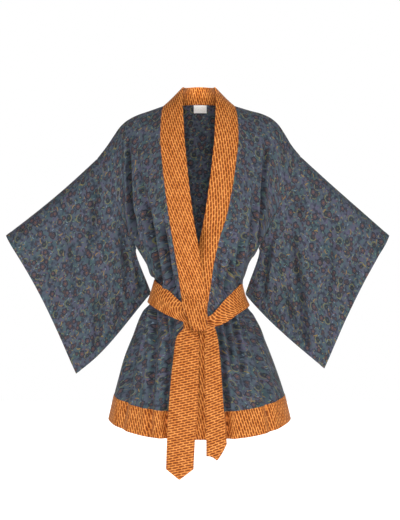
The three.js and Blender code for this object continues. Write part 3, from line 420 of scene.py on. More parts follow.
# Width of what repeats in each cloth. Crepe pebbles are about 0.6 mm, and 1.6 mm shows in a render.
# Cotton threads are 0.4 mm and satin ribs 0.2 mm: a faint ripple of 12 and 8 mm stands for them
CREPE = {"cloud": 29.4, "fleck": 9.09, "rumple": 29.4, "pebble": 1.613}
COTTON = {"wobble": 11.11, "tone": 16.67, "rumple": 25, "ripple": 11.55}
SATIN = {"tone": 3.333, "ripple": 7.854}
THREAD = {"tone": 4.545, "twist": 1.481}
BAND_SCALE = {"Y": math.pi / 10, "DIAGONAL": math.pi / 5 / math.sqrt(2)}  # a wave's own, at scale 1

# What the two printed cloths share: a faint fuzz and a weak gloss
SOFT_FINISH = {"Sheen Weight": 0.05, "Sheen Roughness": 0.5, "Specular IOR Level": 0.2}

# Camera and light, in metres: the light from all round, the glow that takes the floor to the white
# behind it, the soft lights and the narrow beam into the neck
CAMERA = {"place": (0.0025, -2.702, -0.2996), "down": 1.78, "lens": 75.0, "sensor": 36}
AMBIENT = 0.16
FLOOR = {"size": 3.2, "z": -1.0, "glow": 0.88}
LIGHTS = rows_of(
    "name place aim size watts",
    ("front", (0.02, -2.9, -0.2), (0, 0, -0.3), 0.6, 28),
    ("key", (1.9, -1.7, 0.5), (0, 0, -0.35), 0.8, 21),
    ("fill", (-1.9, -1.7, 0.2), (0, 0, -0.35), 0.8, 14),
    ("high", (0.2, -2.1, 1.5), (0, 0, -0.3), 1.0, 18),
    ("behind", (0.8, 2.8, 1.0), (0, 0, -0.4), 2.0, 30),
)
NECK_BEAM = {"place": (0, -2.4, 0.085), "watts": 450, "degrees": 4.1, "source": 0.01}


# Reading the tables

def read(from_table, key, column):
    """A column of a table at each key, by a smooth curve that never overshoots its rows."""
    at = from_table["at"]
    value = from_table[column]
    secant = np.diff(value) / np.diff(at)
    before = secant[:-1]
    after = secant[1:]
    total = np.where(before * after > 0, before + after, 1)
    inner = np.where(before * after > 0, 2 * before * after / total, 0)
    slope = np.concatenate([secant[:1], inner, secant[-1:]])
    key = np.clip(key, at[0], at[-1])
    i = np.clip(np.searchsorted(at, key, side="right") - 1, 0, len(at) - 2)
    step = at[i + 1] - at[i]
    t = (key - at[i]) / step
    t2 = t * t
    t3 = t2 * t
    return (
        (2 * t3 - 3 * t2 + 1) * value[i]
        + (t3 - 2 * t2 + t) * step * slope[i]
        + (3 * t2 - 2 * t3) * value[i + 1]
        + (t3 - t2) * step * slope[i + 1]
    )


def read_side(from_table, key, sign):
    """The left column where the sign is negative and the right one elsewhere."""
    return np.where(sign < 0, read(from_table, key, "left"), read(from_table, key, "right"))


def mix(a, b, t):
    return a + (b - a) * t


def smooth(t):
    t = np.clip(t, 0, 1)
    return t * t * (3 - 2 * t)


def point(x, y, z):
    return np.stack(np.broadcast_arrays(x, y, z), axis=-1).astype(float)


# The body's surface

def knot_pull(face, share, level):
    """How far the tie of the belt draws the cloth down at a place of the ring."""
    above = smooth(1 - (BELT_TOP - level) / PULL_FADE["above"])
    below = smooth(1 - (level - BELT_BOTTOM) / PULL_FADE["below"])
    key = share if face == "front" else np.sign(share)
    in_belt = np.clip((level - BELT_TOP) / (BELT_BOTTOM - BELT_TOP), 0, 1)
    pull = mix(read(KNOT_PULL, key, "top"), read(KNOT_PULL, key, "bottom"), in_belt)
    return pull * above * below * (1 if face == "front" else np.abs(share))


def ring_point(face, sign, level, angle):
    """A point round the body below the armpit, from the middle (0) to the side (a quarter turn)."""
    half = read_side(BODY, level, sign)
    power = 2 / read(BODY, level, "round")
    share = np.clip(np.sin(angle), 0, 1) ** power
    depth = read(BODY, level, face) * np.clip(np.cos(angle), 0, 1) ** power
    middle = read(BODY, level, face + "_mid")
    height = mix(middle, read(BODY, level, "side"), share ** read(BODY, level, "bend"))
    return point(
        sign * half * share,
        -depth if face == "front" else depth,
        height + knot_pull(face, sign * share, level),
    )


def front_depth(x, z):
    """How far the front stands off the middle at places seen from the front."""
    sign = np.where(x < 0, -1, 1)

    def at_level(level):
        share = np.clip(np.abs(x) / read_side(BODY, level, sign), 0, 1)
        return ring_point("front", sign, level, np.arcsin(share ** (read(BODY, level, "round") / 2)))

    above = np.zeros_like(z * 1.0)
    below = np.full_like(above, BODY["at"][-1])
    for _ in range(HALVINGS):
        middle = (above + below) / 2
        too_high = at_level(middle)[..., 2] > z
        above = np.where(too_high, middle, above)
        below = np.where(too_high, below, middle)
    return -at_level((above + below) / 2)[..., 1]


def seam_angle(level, side):
    """The angle on the ring where the neckband seam of a front lies."""
    share = read(BAND_SEAM, level, side) / read(BODY, level, side)
    return np.arcsin(share ** (read(BODY, level, "round") / 2))


def shoulder_point(sign, t):
    return point(
        sign * mix(NECK_SEAM["half_width"], SHOULDER_END_X, t), 0 * t, read_side(SHOULDER_LINE, t, sign)
    )


def upper_point(face, level, start, end, across):
    """From the shoulder or neck seam a column rounds the shoulder and falls to the armpit."""
    turn = (1 + level) * math.pi / 2
    fallen = 1 - np.cos(turn)
    bulge = ARMHOLE_DEPTH[face] * across**3 * np.clip(np.sin(2 * turn), 0, 1) ** ARMHOLE_ARCH
    return point(
        mix(start[..., 0], end[..., 0], fallen),
        mix(start[..., 1], end[..., 1], np.sin(turn)) + (-bulge if face == "front" else bulge),
        mix(start[..., 2], end[..., 2], fallen),
    )


def front_point(side, across, level):
    """A front from the neckband seam (0) to the side or armhole (1)."""
    sign = SIDE_SIGN[side]
    low = np.maximum(level, 0)
    angle = mix(seam_angle(low, side), math.pi / 2, across)
    ring = ring_point("front", sign, low, angle)
    high = np.minimum(level, 0)
    upper = upper_point("front", high, shoulder_point(sign, across), ring, across)
    edge_end = ring_point("front", sign, low, seam_angle(low, side))
    edge = upper_point("front", high, shoulder_point(sign, 0 * across), edge_end, 0 * across)
    pull = (sign * read(BAND_SEAM, level, side) - edge[..., 0]) * (1 - across) ** 2
    upper[..., 0] += np.where(level < 0, pull, 0)
    return np.where(np.asarray(level < 0)[..., None], upper, ring)


def neck_seam_point(sign, t):
    """The neck seam of the back from its middle (0) to the shoulder (1)."""
    angle = t * math.pi / 2
    return point(
        sign * NECK_SEAM["half_width"] * np.sin(angle),
        NECK_SEAM["back"] * np.cos(angle),
        NECK_SEAM["rise"] * np.cos(angle) ** 2,
    )


def back_point(across, level):
    """The back from its left side (-1) to its right side (1)."""
    sign = np.where(across < 0, -1, 1)
    out = np.abs(across)
    ring = ring_point("back", sign, np.maximum(level, 0), out * math.pi / 2)
    on_neck = (out < NECK_SHARE)[..., None]
    start = np.where(
        on_neck,
        neck_seam_point(sign, np.minimum(out / NECK_SHARE, 1)),
        shoulder_point(sign, np.clip((out - NECK_SHARE) / (1 - NECK_SHARE), 0, 1)),
    )
    upper = upper_point("back", np.minimum(level, 0), start, ring, out)
    return np.where(np.asarray(level < 0)[..., None], upper, ring)


# Sleeves

def sleeve_outline(sleeve, sign, along, down, armpit_share):
    """A sleeve as seen from the front, blended from its four edges."""
    shoulder = shoulder_point(sign, np.array(1.0))[[0, 2]]
    corners = (sleeve[name] for name in ("wrist", "outer", "armpit", "inner"))
    wrist, outer, armpit, inner = (np.array(corner, float) for corner in corners)
    a = along[..., None]
    d = down[..., None]
    top = mix(shoulder, wrist, a)
    lower = mix(inner, outer, a)
    straight = mix(top, lower, d)
    outward = np.array([sign, 0.0])
    upward = np.array([0.0, 1.0])
    top = top - upward * sleeve["top_sag"] * np.sin(math.pi * a)
    late = math.log(0.5) / math.log(sleeve["lowest"])
    lower = lower - upward * sleeve["lower_sag"] * np.sin(math.pi * a**late)
    cuff = mix(wrist, outer, d) - outward * sleeve["cuff_draw"] * np.sin(math.pi * d**CUFF_POWER)
    body = np.where(
        d < armpit_share,
        mix(shoulder, armpit, np.minimum(d / armpit_share, 1)),
        mix(armpit, inner, np.clip((d - armpit_share) / (1 - armpit_share), 0, 1)),
    )
    under_arm = np.clip((d - armpit_share) / (1 - armpit_share), 0, 1)
    body = body + outward * GAP_BOW * np.sin(math.pi * under_arm**GAP_POWER)
    return mix(top, lower, d) + mix(body, cuff, a) - straight


def layer_distance(below, radius):
    """Half the distance between the layers: round over the arm, then falling together."""
    over_arm = np.sqrt(np.clip(below * (2 * radius - below), 0, None))
    fallen = np.clip((below - radius) / ARM["fall"], 0, None)
    hanging = mix(SLEEVE_LAYER, radius, np.exp(-(fallen ** ARM["fall_power"])))
    return np.where(below < radius, over_arm, hanging)


def sleeve_point(side, along, turn):
    """A sleeve from the armhole (0) to the cuff (1); turn runs from the lower seam up the back
    (-1 to 0), over the top fold and down the front (0 to 1)."""
    sleeve = SLEEVES[side]
    sign = SIDE_SIGN[side]
    shoulder = shoulder_point(sign, np.array(1.0))[[0, 2]]
    armpit = np.array(sleeve["armpit"], float)
    armhole = np.linalg.norm(armpit - shoulder)
    depth = armhole + np.linalg.norm(armpit - np.array(sleeve["inner"]))
    armpit_share = armhole / depth
    high = np.clip(np.abs(turn) / ARMHOLE_TURN, 0, 1)
    low = np.clip((np.abs(turn) - ARMHOLE_TURN) / (1 - ARMHOLE_TURN), 0, 1)
    rounded = armpit_share * (1 - np.cos(high * math.pi / 2))
    down = np.where(high < 1, rounded, mix(armpit_share, 1, low))
    outline = sleeve_outline(sleeve, sign, along, down, armpit_share)
    flat = np.minimum(1, (1 - down) * LAYERS_MEET)
    radius = mix(ARM["shoulder_radius"], ARM["wrist_radius"], along)
    general = layer_distance(down * depth, radius) * flat
    armhole_depth = np.where(turn > 0, ARMHOLE_DEPTH["front"], ARMHOLE_DEPTH["back"])
    arch = armhole_depth * np.clip(np.sin(math.pi * high), 0, 1) ** ARMHOLE_ARCH
    at_body = np.where(high < 1, arch, 0)
    at_body = np.where(high > 0.5, np.maximum(at_body, SLEEVE_LAYER * flat), at_body)
    half = mix(at_body, general, smooth(along / ARMHOLE_REACH))
    swing = INNER_CORNER_BACK * smooth((down - armpit_share) / (1 - armpit_share)) * (1 - along) ** 2
    forward = -ARM["forward"] * smooth(along) * (1 - down)
    face = np.where(turn > 0, -1, 1)
    return point(outline[..., 0], swing + forward + face * half, outline[..., 1])


# Neckband

def band_point(side, level, w):
    """The neckband beside a front, from the seam (0) to the free edge (1)."""
    sign = SIDE_SIGN[side]
    seam = front_point(side, 0 * w * level, level + 0 * w)
    x = seam[..., 0] - sign * read(BAND, level, side) * w
    z = seam[..., 2] + read(BAND, level, "up") * w
    upper = seam[..., 1] - read(BAND, level, "forward") * w
    lap = SHINGLE * read(BAND, level, "lap") * w
    tuck = read(BAND, level, "tuck") * w * w
    lower = -front_depth(x, z) + (-lap if side == "left" else lap + tuck)
    return point(x, np.where(level < 0, upper, lower), z)


def collar_point(sign, t, w):
    """The neckband behind the neck, from the middle of the back (0) to the shoulder (1)."""
    angle = t * math.pi / 2
    top = point(
        sign * NECK_TOP["half_width"] * np.sin(angle),
        mix(NECK_TOP["front"], NECK_TOP["back"], np.cos(angle)),
        mix(NECK_TOP["side_rise"], NECK_TOP["back_rise"], np.cos(angle) ** 2),
    )
    return mix(neck_seam_point(sign, t), top, np.asarray(w)[..., None])


# From points to cloth

def grid_normals(points, facing, looped=False):
    """The outward normal at each point of a grid whose rows run down and columns across."""
    if looped:
        wrapped = np.concatenate([points[:, -2:-1], points, points[:, 1:2]], axis=1)
        across = (wrapped[:, 2:] - wrapped[:, :-2]) / 2
    else:
        across = np.gradient(points, axis=1)
    down = np.gradient(points, axis=0)
    normals = np.cross(down, across) * facing
    return normals / np.maximum(np.linalg.norm(normals, axis=-1, keepdims=True), 1e-9)


def crease_depth(creases, places):
    """How far a table of creases presses the cloth in at places, as seen from the front."""
    x = places[..., 0]
    z = places[..., 2]
    total = np.zeros_like(x)
    for c in creases:
        run = (c["x1"] - c["x0"], c["z1"] - c["z0"])
        length = math.hypot(*run)
        t = ((x - c["x0"]) * run[0] + (z - c["z0"]) * run[1]) / length**2
        inside = np.clip(t, 0, 1)
        off = ((x - c["x0"]) * -run[1] + (z - c["z0"]) * run[0]) / length
        off = (off - c["bow"] * 4 * inside * (1 - inside)) / c["width"]
        upper_half = mix(c["top"], 1, smooth(inside / CREASE_FADE))
        lower_half = mix(c["bottom"], 1, smooth((1 - inside) / CREASE_FADE))
        beyond = (t - inside) * length / (CREASE_END * c["width"])
        trough = np.exp(-(off**2)) - c["lip"] * np.exp(-((np.abs(off) - LIP_PLACE) ** 2))
        total += c["depth"] * np.minimum(upper_half, lower_half) * np.exp(-(beyond**2)) * trough
    return total


def run_length(points, axis=0):
    """The distance along each line of points from its start, in the direction of an axis."""
    steps = np.linalg.norm(np.diff(points, axis=axis), axis=-1)
    start = np.zeros_like(np.take(steps, [0], axis=axis))
    return np.concatenate([start, np.cumsum(steps, axis=axis)], axis=axis)


def cloth_map(points, across_from):
    """Where each point lies on the flat cloth, in millimetres: across from a column, and down."""
    across = run_length(points, axis=1)
    return np.stack([across - across[:, across_from][:, None], -run_length(points)], axis=-1)


def leaned(flat, degrees):
    """The flat map turned so that the dashes lean from the upright, their tops to the left."""
    cosine = math.cos(math.radians(degrees))
    sine = math.sin(math.radians(degrees))
    across = flat[..., 0]
    up = flat[..., 1]
    return np.stack([across * cosine + up * sine, up * cosine - across * sine], axis=-1)


def outer_face(points, flat, facing, normals=None, looped=False):
    """The outer face of a piece of cloth: its grid of points, its flat map, the way the grid faces
    and its outward normals. A looped one is a tube."""
    if normals is None:
        normals = grid_normals(points, facing, looped)
    return {"points": points, "flat": flat, "facing": facing, "normals": normals, "looped": looped}


def cloth_piece(name, face, thickness):
    """A grid primitive whose points are laid on the piece's outer face, thickened inwards."""
    turned = -face["facing"]
    points = face["points"][:, ::turned]
    flat = face["flat"][:, ::turned]
    rows, columns = points.shape[:2]
    bpy.ops.mesh.primitive_grid_add(x_subdivisions=columns - 1, y_subdivisions=rows - 1, size=1)
    piece = bpy.context.object
    piece.name = name
    mesh = piece.data
    mesh.name = name
    mesh.vertices.foreach_set("co", (points * MM).astype(np.float32).ravel())
    corner = np.empty(len(mesh.loops), np.int32)
    mesh.loops.foreach_get("vertex_index", corner)
    places = flat.reshape(-1, 2)[corner] * MM
    mesh.uv_layers[0].name = "cloth"
    mesh.uv_layers[0].data.foreach_set("uv", places.astype(np.float32).ravel())
    mesh.update()
    if face["looped"]:
        bpy.ops.object.mode_set(mode="EDIT")
        bpy.ops.mesh.select_all(action="SELECT")
        bpy.ops.mesh.remove_doubles(threshold=0.00001)
        bpy.ops.object.mode_set(mode="OBJECT")
    wall = piece.modifiers.new("wall", "SOLIDIFY")
    wall.thickness = thickness * MM
    wall.offset = -1
    bpy.ops.object.modifier_apply(modifier="wall")
    bpy.ops.object.shade_smooth_by_angle(angle=math.radians(SHARP_ANGLE))
    piece.select_set(False)
    return piece


def line_inside(points, normals, inset):
    """The line that runs inside the first column's edge of a grid, and its normals."""
    reach = run_length(points, axis=1)
    after = np.sum(reach < inset, axis=1)
    row = np.arange(len(points))
    start = reach[row, after - 1]
    t = ((inset - start) / (reach[row, after] - start))[:, None]
    return [mix(grid[row, after - 1], grid[row, after], t) for grid in (points, normals)]


def edge_lines(face, edges, inset):
    """The lines of stitches inside the named edges of a piece."""
    views = {
        "first": lambda grid: grid,
        "last": lambda grid: grid[:, ::-1],
        "top": lambda grid: grid.transpose(1, 0, 2),
        "foot": lambda grid: grid[::-1].transpose(1, 0, 2),
    }
    return [
        line_inside(views[edge](face["points"]), views[edge](face["normals"]), inset)
        for edge in edges.split()
    ]


def sewing(name, lines):
    """Rows of small raised stitches along lines of points and outward normals."""
    bpy.ops.mesh.primitive_ico_sphere_add(subdivisions=1, radius=0.5)
    rows = bpy.context.object
    rows.name = name
    rows.data.name = name
    stitch = np.empty(len(rows.data.vertices) * 3)
    rows.data.vertices.foreach_get("co", stitch)
    stitch = stitch.reshape(-1, 3)
    corners = []
    for points, normals in lines:
        length = run_length(points)
        places = np.arange(STITCH["pitch"] / 2, length[-1], STITCH["pitch"])

        def at(values, place):
            return np.stack([np.interp(place, length, values[:, k]) for k in range(3)], axis=1)

        middle = at(points, places)
        along = at(points, places + 0.5) - at(points, places - 0.5)
        along /= np.maximum(np.linalg.norm(along, axis=1, keepdims=True), 1e-9)
        up = at(normals, places)
        up -= along * np.sum(up * along, axis=1, keepdims=True)
        up /= np.maximum(np.linalg.norm(up, axis=1, keepdims=True), 1e-9)
        side = np.cross(up, along)
        corners.append(
            middle[:, None]
            + stitch[None, :, :1] * STITCH["length"] * along[:, None]
            + stitch[None, :, 1:2] * STITCH["width"] * side[:, None]
            + stitch[None, :, 2:] * STITCH["height"] * up[:, None]
        )
    corners = np.concatenate(corners)
    copies = rows.modifiers.new("copies", "ARRAY")
    copies.count = len(corners)
    copies.use_relative_offset = False
    bpy.ops.object.modifier_apply(modifier="copies")
    rows.data.vertices.foreach_set("co", (corners * MM).astype(np.float32).ravel())
    rows.data.update()
    bpy.ops.object.shade_smooth()
    rows.select_set(False)
    return rows


# Camera: a little above the robe's middle and 2.7 m away, looking slightly down

bpy.ops.object.camera_add(location=CAMERA["place"], rotation=(math.radians(90 - CAMERA["down"]), 0, 0))
camera = bpy.context.object
camera.name = "camera"
camera.data.lens = CAMERA["lens"]
camera.data.sensor_width = CAMERA["sensor"]
bpy.context.scene.camera = camera
camera.select_set(False)

# Printed pieces

LEVELS = np.concatenate([np.linspace(-1, 0, 81), np.linspace(0, HEM_SEAM, 131)[1:]])
BORDER_LEVELS = np.linspace(HEM_SEAM, HEM, 17)
EDGE = np.array([0, 0.006, 0.012, 0.02])  # closer columns where the cloth rolls in at a seam
SHOULDER_JOIN = 0.004  # from the shoulder to the end of each front strip of the neckband


def with_edges(count):
    """Shares from 0 to 1 with closer steps at both ends."""
    return np.concatenate([EDGE, np.linspace(0.03, 0.97, count), 1 - EDGE[::-1]])


def seam_roll(distance, reach=3.0, fall=0.9):
    """How far the cloth rolls in at a distance from a seam or fold."""
    return fall * np.clip(1 - np.abs(distance) / reach, 0, 1) ** 2


def edge_distance(flat):
    """How far each point lies from the nearer end of its row."""
    across = flat[..., 0]
    return np.minimum(np.abs(across - across[:, :1]), np.abs(across - across[:, -1:]))


def blouse(levels, from_band):
    """How far the gathered cloth stands out just over the belt, away from the neckband."""
    above = (levels - BLOUSE["level"]) / BLOUSE["reach"]
    return BLOUSE["out"] * np.exp(-(above**2)) * smooth(from_band)


def body_cloth(rest, flat, facing, creases, to_seam, from_band, levels, rise):
    """A front or the back with its creases, its seams and the cloth puffed out over the belt."""
    faded = np.clip(SEAM_FADE["reach"] * to_seam, 0, 1) ** SEAM_FADE["power"]
    pressed = crease_depth(creases, rest) * faded + seam_roll(edge_distance(flat)) - rise
    pressed = pressed - blouse(levels[:, None], from_band)
    return outer_face(rest - grid_normals(rest, facing) * pressed[..., None], flat, facing)


def front_cloth(side, levels, rise=0.0):
    """A front, or a stretch of it that rises over the cloth."""
    sign = SIDE_SIGN[side]
    across = with_edges(100)[None, :] + 0 * levels[:, None]
    rest = front_point(side, across, levels[:, None] + 0 * across)
    flat = cloth_map(rest, 52) * (sign, 1)
    to_seam = np.minimum(across, 1 - across)
    return body_cloth(rest, flat, sign, FRONT_CREASES, to_seam, 2 * across, levels, rise)


def back_cloth(levels, rise=0.0):
    """The back, or a stretch of it that rises over the cloth."""
    across = (2 * with_edges(132) - 1)[None, :] + 0 * levels[:, None]
    rest = back_point(across, levels[:, None] + 0 * across)
    to_seam = 1 - np.abs(across)
    return body_cloth(rest, cloth_map(rest, 70), -1, BACK_CREASES, to_seam, 1 + 0 * across, levels, rise)


def sleeve_cloth(side):
    """A sleeve: rows run from the armhole to the cuff, columns round it."""
    turn = np.linspace(-1, 1, 241)[None, :]
    along = np.concatenate([[0, 0.004, 0.009], np.linspace(0.02, 0.93, 44), np.linspace(0.937, 1, 11)])
    turn, along = np.broadcast_arrays(turn, along[:, None])
    round_it = np.abs(turn)
    rest = sleeve_point(side, along, turn)
    lengths = cloth_map(rest, 120)
    length = np.abs(lengths[..., 1])
    flat = np.stack([SIDE_SIGN[side] * length, -lengths[..., 0]], axis=-1)
    depth = crease_depth(SLEEVE_CREASES[side], rest) * smooth(along / SLEEVE_FADE["armhole"])
    depth = depth * smooth(round_it / SLEEVE_FADE["top"]) * smooth((1 - round_it) / SLEEVE_FADE["lower"])
    follows = smooth((round_it - SLEEVE_FADE["behind_from"]) / SLEEVE_FADE["behind_over"])
    pressed = np.where(turn > 0, depth, -depth * follows)
    hem = smooth((CUFF_HEM - (length[-1:] - length)) / HEM_STEP["over"])
    pressed = pressed + seam_roll(length) - HEM_STEP["rise"] * hem
    facing = -SIDE_SIGN[side]
    normals = grid_normals(rest, facing, looped=True)
    return outer_face(rest - normals * pressed[..., None], flat, facing, looped=True)


# Contrast pieces

def border_cloth(covered, sense):
    """The hem border over the foot of a front (-1) or the back (1). Its cloth hangs straight: its
    map is upright all round, not fanned out."""
    points = covered["points"]
    low = points[-1]
    onward = np.gradient(low[:, :2], axis=0)
    onward /= np.linalg.norm(onward, axis=1, keepdims=True)
    flare = np.sum((points[..., :2] - low[:, :2]) * onward, axis=-1)
    along = (run_length(low) + flare) * np.sign(low[-1, 0] - low[0, 0])
    upright = np.stack([-HEM_SPREAD * sense * along, points[..., 2]], axis=-1)
    return {**covered, "flat": leaned(upright, HEM_LEAN)}


def band_cloth():
    """The neckband: rows run from the left hem round the neck to the right hem, columns across."""
    w = with_edges(13)[None, :]
    falling = np.concatenate([[LEVELS[0] + SHOULDER_JOIN], LEVELS[1:], BORDER_LEVELS[1:]])
    left = band_point("left", falling[::-1, None] + 0 * w, w + 0 * falling[:, None])
    right = band_point("right", falling[:, None] + 0 * w, w + 0 * falling[:, None])
    round_neck = np.linspace(-1, 1, 81)[:, None] + 0 * w
    neck = collar_point(np.where(round_neck < 0, -1, 1), np.abs(round_neck), w + 0 * round_neck)
    rest = np.concatenate([left, neck, right])
    flat = cloth_map(rest, 0)
    normals = grid_normals(rest, -1)
    risen = BAND_RISE - seam_roll(edge_distance(flat), **BAND_ROLL)
    length = -flat[..., 1]
    neck_end = len(left) + len(neck)
    for join in (len(left), neck_end - 1):
        risen -= seam_roll(length - length[join], **JOIN_ROLL)
    behind = slice(len(left), neck_end)
    middle = len(left) + len(neck) // 2
    upright = np.stack([length[behind] - length[middle], rest[behind, :, 2]], axis=-1)
    flat[neck_end:, :, 1] -= flat[-1, :, 1]
    flat = leaned(flat * (1, -1), BAND_LEAN)
    flat[behind] = leaned(upright, COLLAR_LEAN)
    in_front = rest[..., 1] < STRIP_IN_FRONT_OF
    risen = risen - np.where(in_front, crease_depth(STRIP_CREASES + PINCH, rest), 0)
    return outer_face(rest + normals * risen[..., None], flat, -1, normals)


def belt_cloth():
    """The belt round the waist: rows run down it, columns round it from the middle of the back."""
    angle = np.linspace(0, 2 * math.pi, 289)[None, :]
    level = mix(BELT_TOP, BELT_BOTTOM, with_edges(13))[:, None]
    angle, level = np.broadcast_arrays(angle, level)
    sign = np.where(np.sin(angle) < 0, -1, 1)
    from_middle = np.arcsin(np.clip(np.abs(np.sin(angle)), 0, 1))
    behind = ring_point("back", sign, level, from_middle)
    before = ring_point("front", sign, level, from_middle)
    rest = np.where((np.cos(angle) > 0)[..., None], behind, before)
    flat = cloth_map(rest, 0)
    down = np.abs(flat[..., 1])
    edge = np.minimum(down, down[-1:] - down)
    normals = grid_normals(rest, -1, looped=True)
    pressed = crease_depth(BELT_CREASES, rest) * np.where(rest[..., 1] < 0, 1, 0)
    pressed = pressed * np.clip(edge / EDGE_FADE["belt"], 0, 1) + seam_roll(edge, **FOLD_ROLL)
    out = BELT_OFFSET + DOUBLED_STAND - pressed
    along = -flat[..., 0] * BELT_SPREAD
    slope = np.arctan2(np.gradient(rest[..., 2], axis=1), np.abs(np.gradient(flat[..., 0], axis=1)))
    slope = slope * BELT_TURN
    below = flat[..., 1]
    square = np.stack([along - below * np.sin(slope), below * np.cos(slope)], axis=-1)
    points = rest + normals * out[..., None]
    return outer_face(points, leaned(square, BELT_LEAN), -1, normals, looped=True)


def end_cloth(edges, tip, lean):
    """A belt end: rows run down it to its point, columns from left to right."""
    share = with_edges(17)[None, :]
    down = np.concatenate([np.linspace(0, 0.985, 110), [0.99, 0.995, 1]])[:, None]
    share, down = np.broadcast_arrays(share, down)
    corner = mix(tip["left_z"], tip["right_z"], share)
    left = read(edges, tip["left_z"], "left")
    right = read(edges, tip["right_z"], "right")
    tip_share = (tip["x"] - left) / (right - left)
    reach = np.where(share <= tip_share, share / tip_share, (1 - share) / (1 - tip_share))
    foot = mix(corner, tip["z"], reach)
    z = mix(edges["at"][-1], foot, down)
    x = mix(read(edges, z, "left"), read(edges, z, "right"), share)
    over_band = np.clip((x - BAND_STEP["left_x"]) / BAND_STEP["over"], 0, 1)
    rest = point(x, -(front_depth(x, z) + END_LAY + SHINGLE * over_band + DOUBLED_STAND), z)
    edge = np.minimum(edge_distance(np.stack([x, z], axis=-1)), np.abs(z - foot))
    normals = grid_normals(rest, 1)
    pressed = crease_depth(END_CREASES, rest) * np.clip(edge / EDGE_FADE["end"], 0, 1)
    pressed = pressed + seam_roll(edge, **FOLD_ROLL) + crease_depth(PINCH, rest)
    flat = leaned(np.stack([-z, x], axis=-1), lean)
    return outer_face(rest - normals * pressed[..., None], flat, 1, normals)


def knot_cloth():
    """The wrap of the knot: rows run down it, columns from its left edge over it to its right."""
    turn = np.linspace(0, math.pi, 65)[None, :]
    z = np.linspace(KNOT["at"][-1], KNOT["at"][0], 61)[:, None]
    turn, z = np.broadcast_arrays(turn, z)
    x = mix(read(KNOT, z, "left"), read(KNOT, z, "right"), (1 - np.cos(turn)) / 2)
    pinch = smooth((PLEAT["from_z"] - z) / PLEAT["over"])
    out = read(KNOT, z, "back") + read(KNOT, z, "thick") * np.sin(turn).clip(0, 1) ** KNOT_ROUND
    for place, depth in KNOT_PLEATS:
        off = (turn - mix(place, PLEAT["middle"], PLEAT["gather"] * pinch)) / PLEAT["half_width"]
        out = out - depth * np.exp(-(off**2)) * pinch
    return outer_face(point(x, -out, z), leaned(np.stack([x, z], axis=-1), KNOT_LEAN), 1)


def label_cloth():
    """The blank label inside the back, just below the neck seam."""
    x = LABEL["x"] + LABEL["width"] * (np.linspace(0, 1, 15)[None, :] - 0.5)
    below = LABEL["below"] + LABEL["height"] * np.linspace(0, 1, 9)[:, None]
    x, below = np.broadcast_arrays(x, below)
    share = np.arcsin(np.clip(np.abs(x) / NECK_SEAM["half_width"], 0, 1)) / (math.pi / 2)
    seam = neck_seam_point(np.where(x < 0, -1, 1), share)
    top, lower = back_point(np.zeros(2), np.array([-1, -0.75]))
    slope = (lower[1] - top[1]) / (top[2] - lower[2])
    rest = point(x, seam[..., 1] + slope * below - LABEL["off_back"], seam[..., 2] - below)
    return outer_face(rest, cloth_map(rest, 7), -1)


# Materials

def linear(hex_colour):
    """An sRGB hex colour as the linear values that a shader takes."""
    parts = [int(hex_colour[i:i + 2], 16) / 255 for i in (1, 3, 5)]
    return [c / 12.92 if c <= 0.04045 else ((c + 0.055) / 1.055) ** 2.4 for c in parts] + [1.0]


def add(material, kind, inputs, out=0, stops=(), **settings):
    """Adds a node with its settings, its numbers and its links, and gives one of its outputs."""
    node = material.node_tree.nodes.new("ShaderNode" + kind)
    for name, value in settings.items():
        setattr(node, name, value)
    for i, (place, colour) in enumerate(stops):
        elements = node.color_ramp.elements
        element = elements[i] if i < 2 else elements.new(place)
        element.position = place
        element.color = linear(colour)
    for name, value in inputs.items():
        if isinstance(value, bpy.types.NodeSocket):
            material.node_tree.links.new(value, node.inputs[name])
        else:
            node.inputs[name].default_value = value
    return node.outputs[out] if node.outputs else None


def new_material(name):
    material = bpy.data.materials.new(name)
    material.use_nodes = True
    material.node_tree.nodes.clear()
    return material


def finish_material(material, bumps, sockets):
    """Joins the surface to the shader. Each bump is a height, its strength and its depth in metres."""
    normal = {}
    for height, strength, distance in bumps:
        inputs = {"Height": height, "Strength": strength, "Distance": distance}
        normal = {"Normal": add(material, "Bump", {**inputs, **normal})}
    surface = add(material, "BsdfPrincipled", {**sockets, **normal})
    add(material, "OutputMaterial", {"Surface": surface})
    return material


def scattered(material, cloth, spacing, shift):
    """One motif to a cell: its distance in millimetres, its angle and its three chances."""
    away = (shift, SCATTER["slant"] * shift, 0)
    moved = add(material, "VectorMath", {0: cloth, 1: away}, operation="ADD")
    inputs = {"Vector": moved, "Scale": 1 / (spacing * MM), "Randomness": SCATTER["randomness"]}
    middle = add(material, "TexVoronoi", inputs, "Position", voronoi_dimensions="2D")
    offset = add(material, "VectorMath", {0: moved, 1: middle}, operation="SUBTRACT")
    in_mm = add(material, "VectorMath", {0: offset, "Scale": 1 / MM}, operation="SCALE")
    distance = add(material, "VectorMath", {0: in_mm}, "Value", operation="LENGTH")
    x, y, _ = add(material, "SeparateXYZ", {0: in_mm}).node.outputs
    angle = add(material, "Math", {0: y, 1: x}, operation="ARCTAN2")
    chances = add(material, "SeparateColor", {0: middle.node.outputs["Color"]}).node.outputs
    return distance, angle, chances


def printed(material, under, colour, value, edge, softness, shown):
    """A colour over the cloth, as strong as it is shown, where a value lies under an edge."""
    inputs = {0: value, 1: edge - softness, 2: edge + softness, 3: shown, 4: 0.0}
    mask = add(material, "MapRange", inputs, interpolation_type="SMOOTHSTEP")
    return add(material, "Mix", {0: mask, 6: under, 7: colour}, 2, data_type="RGBA")


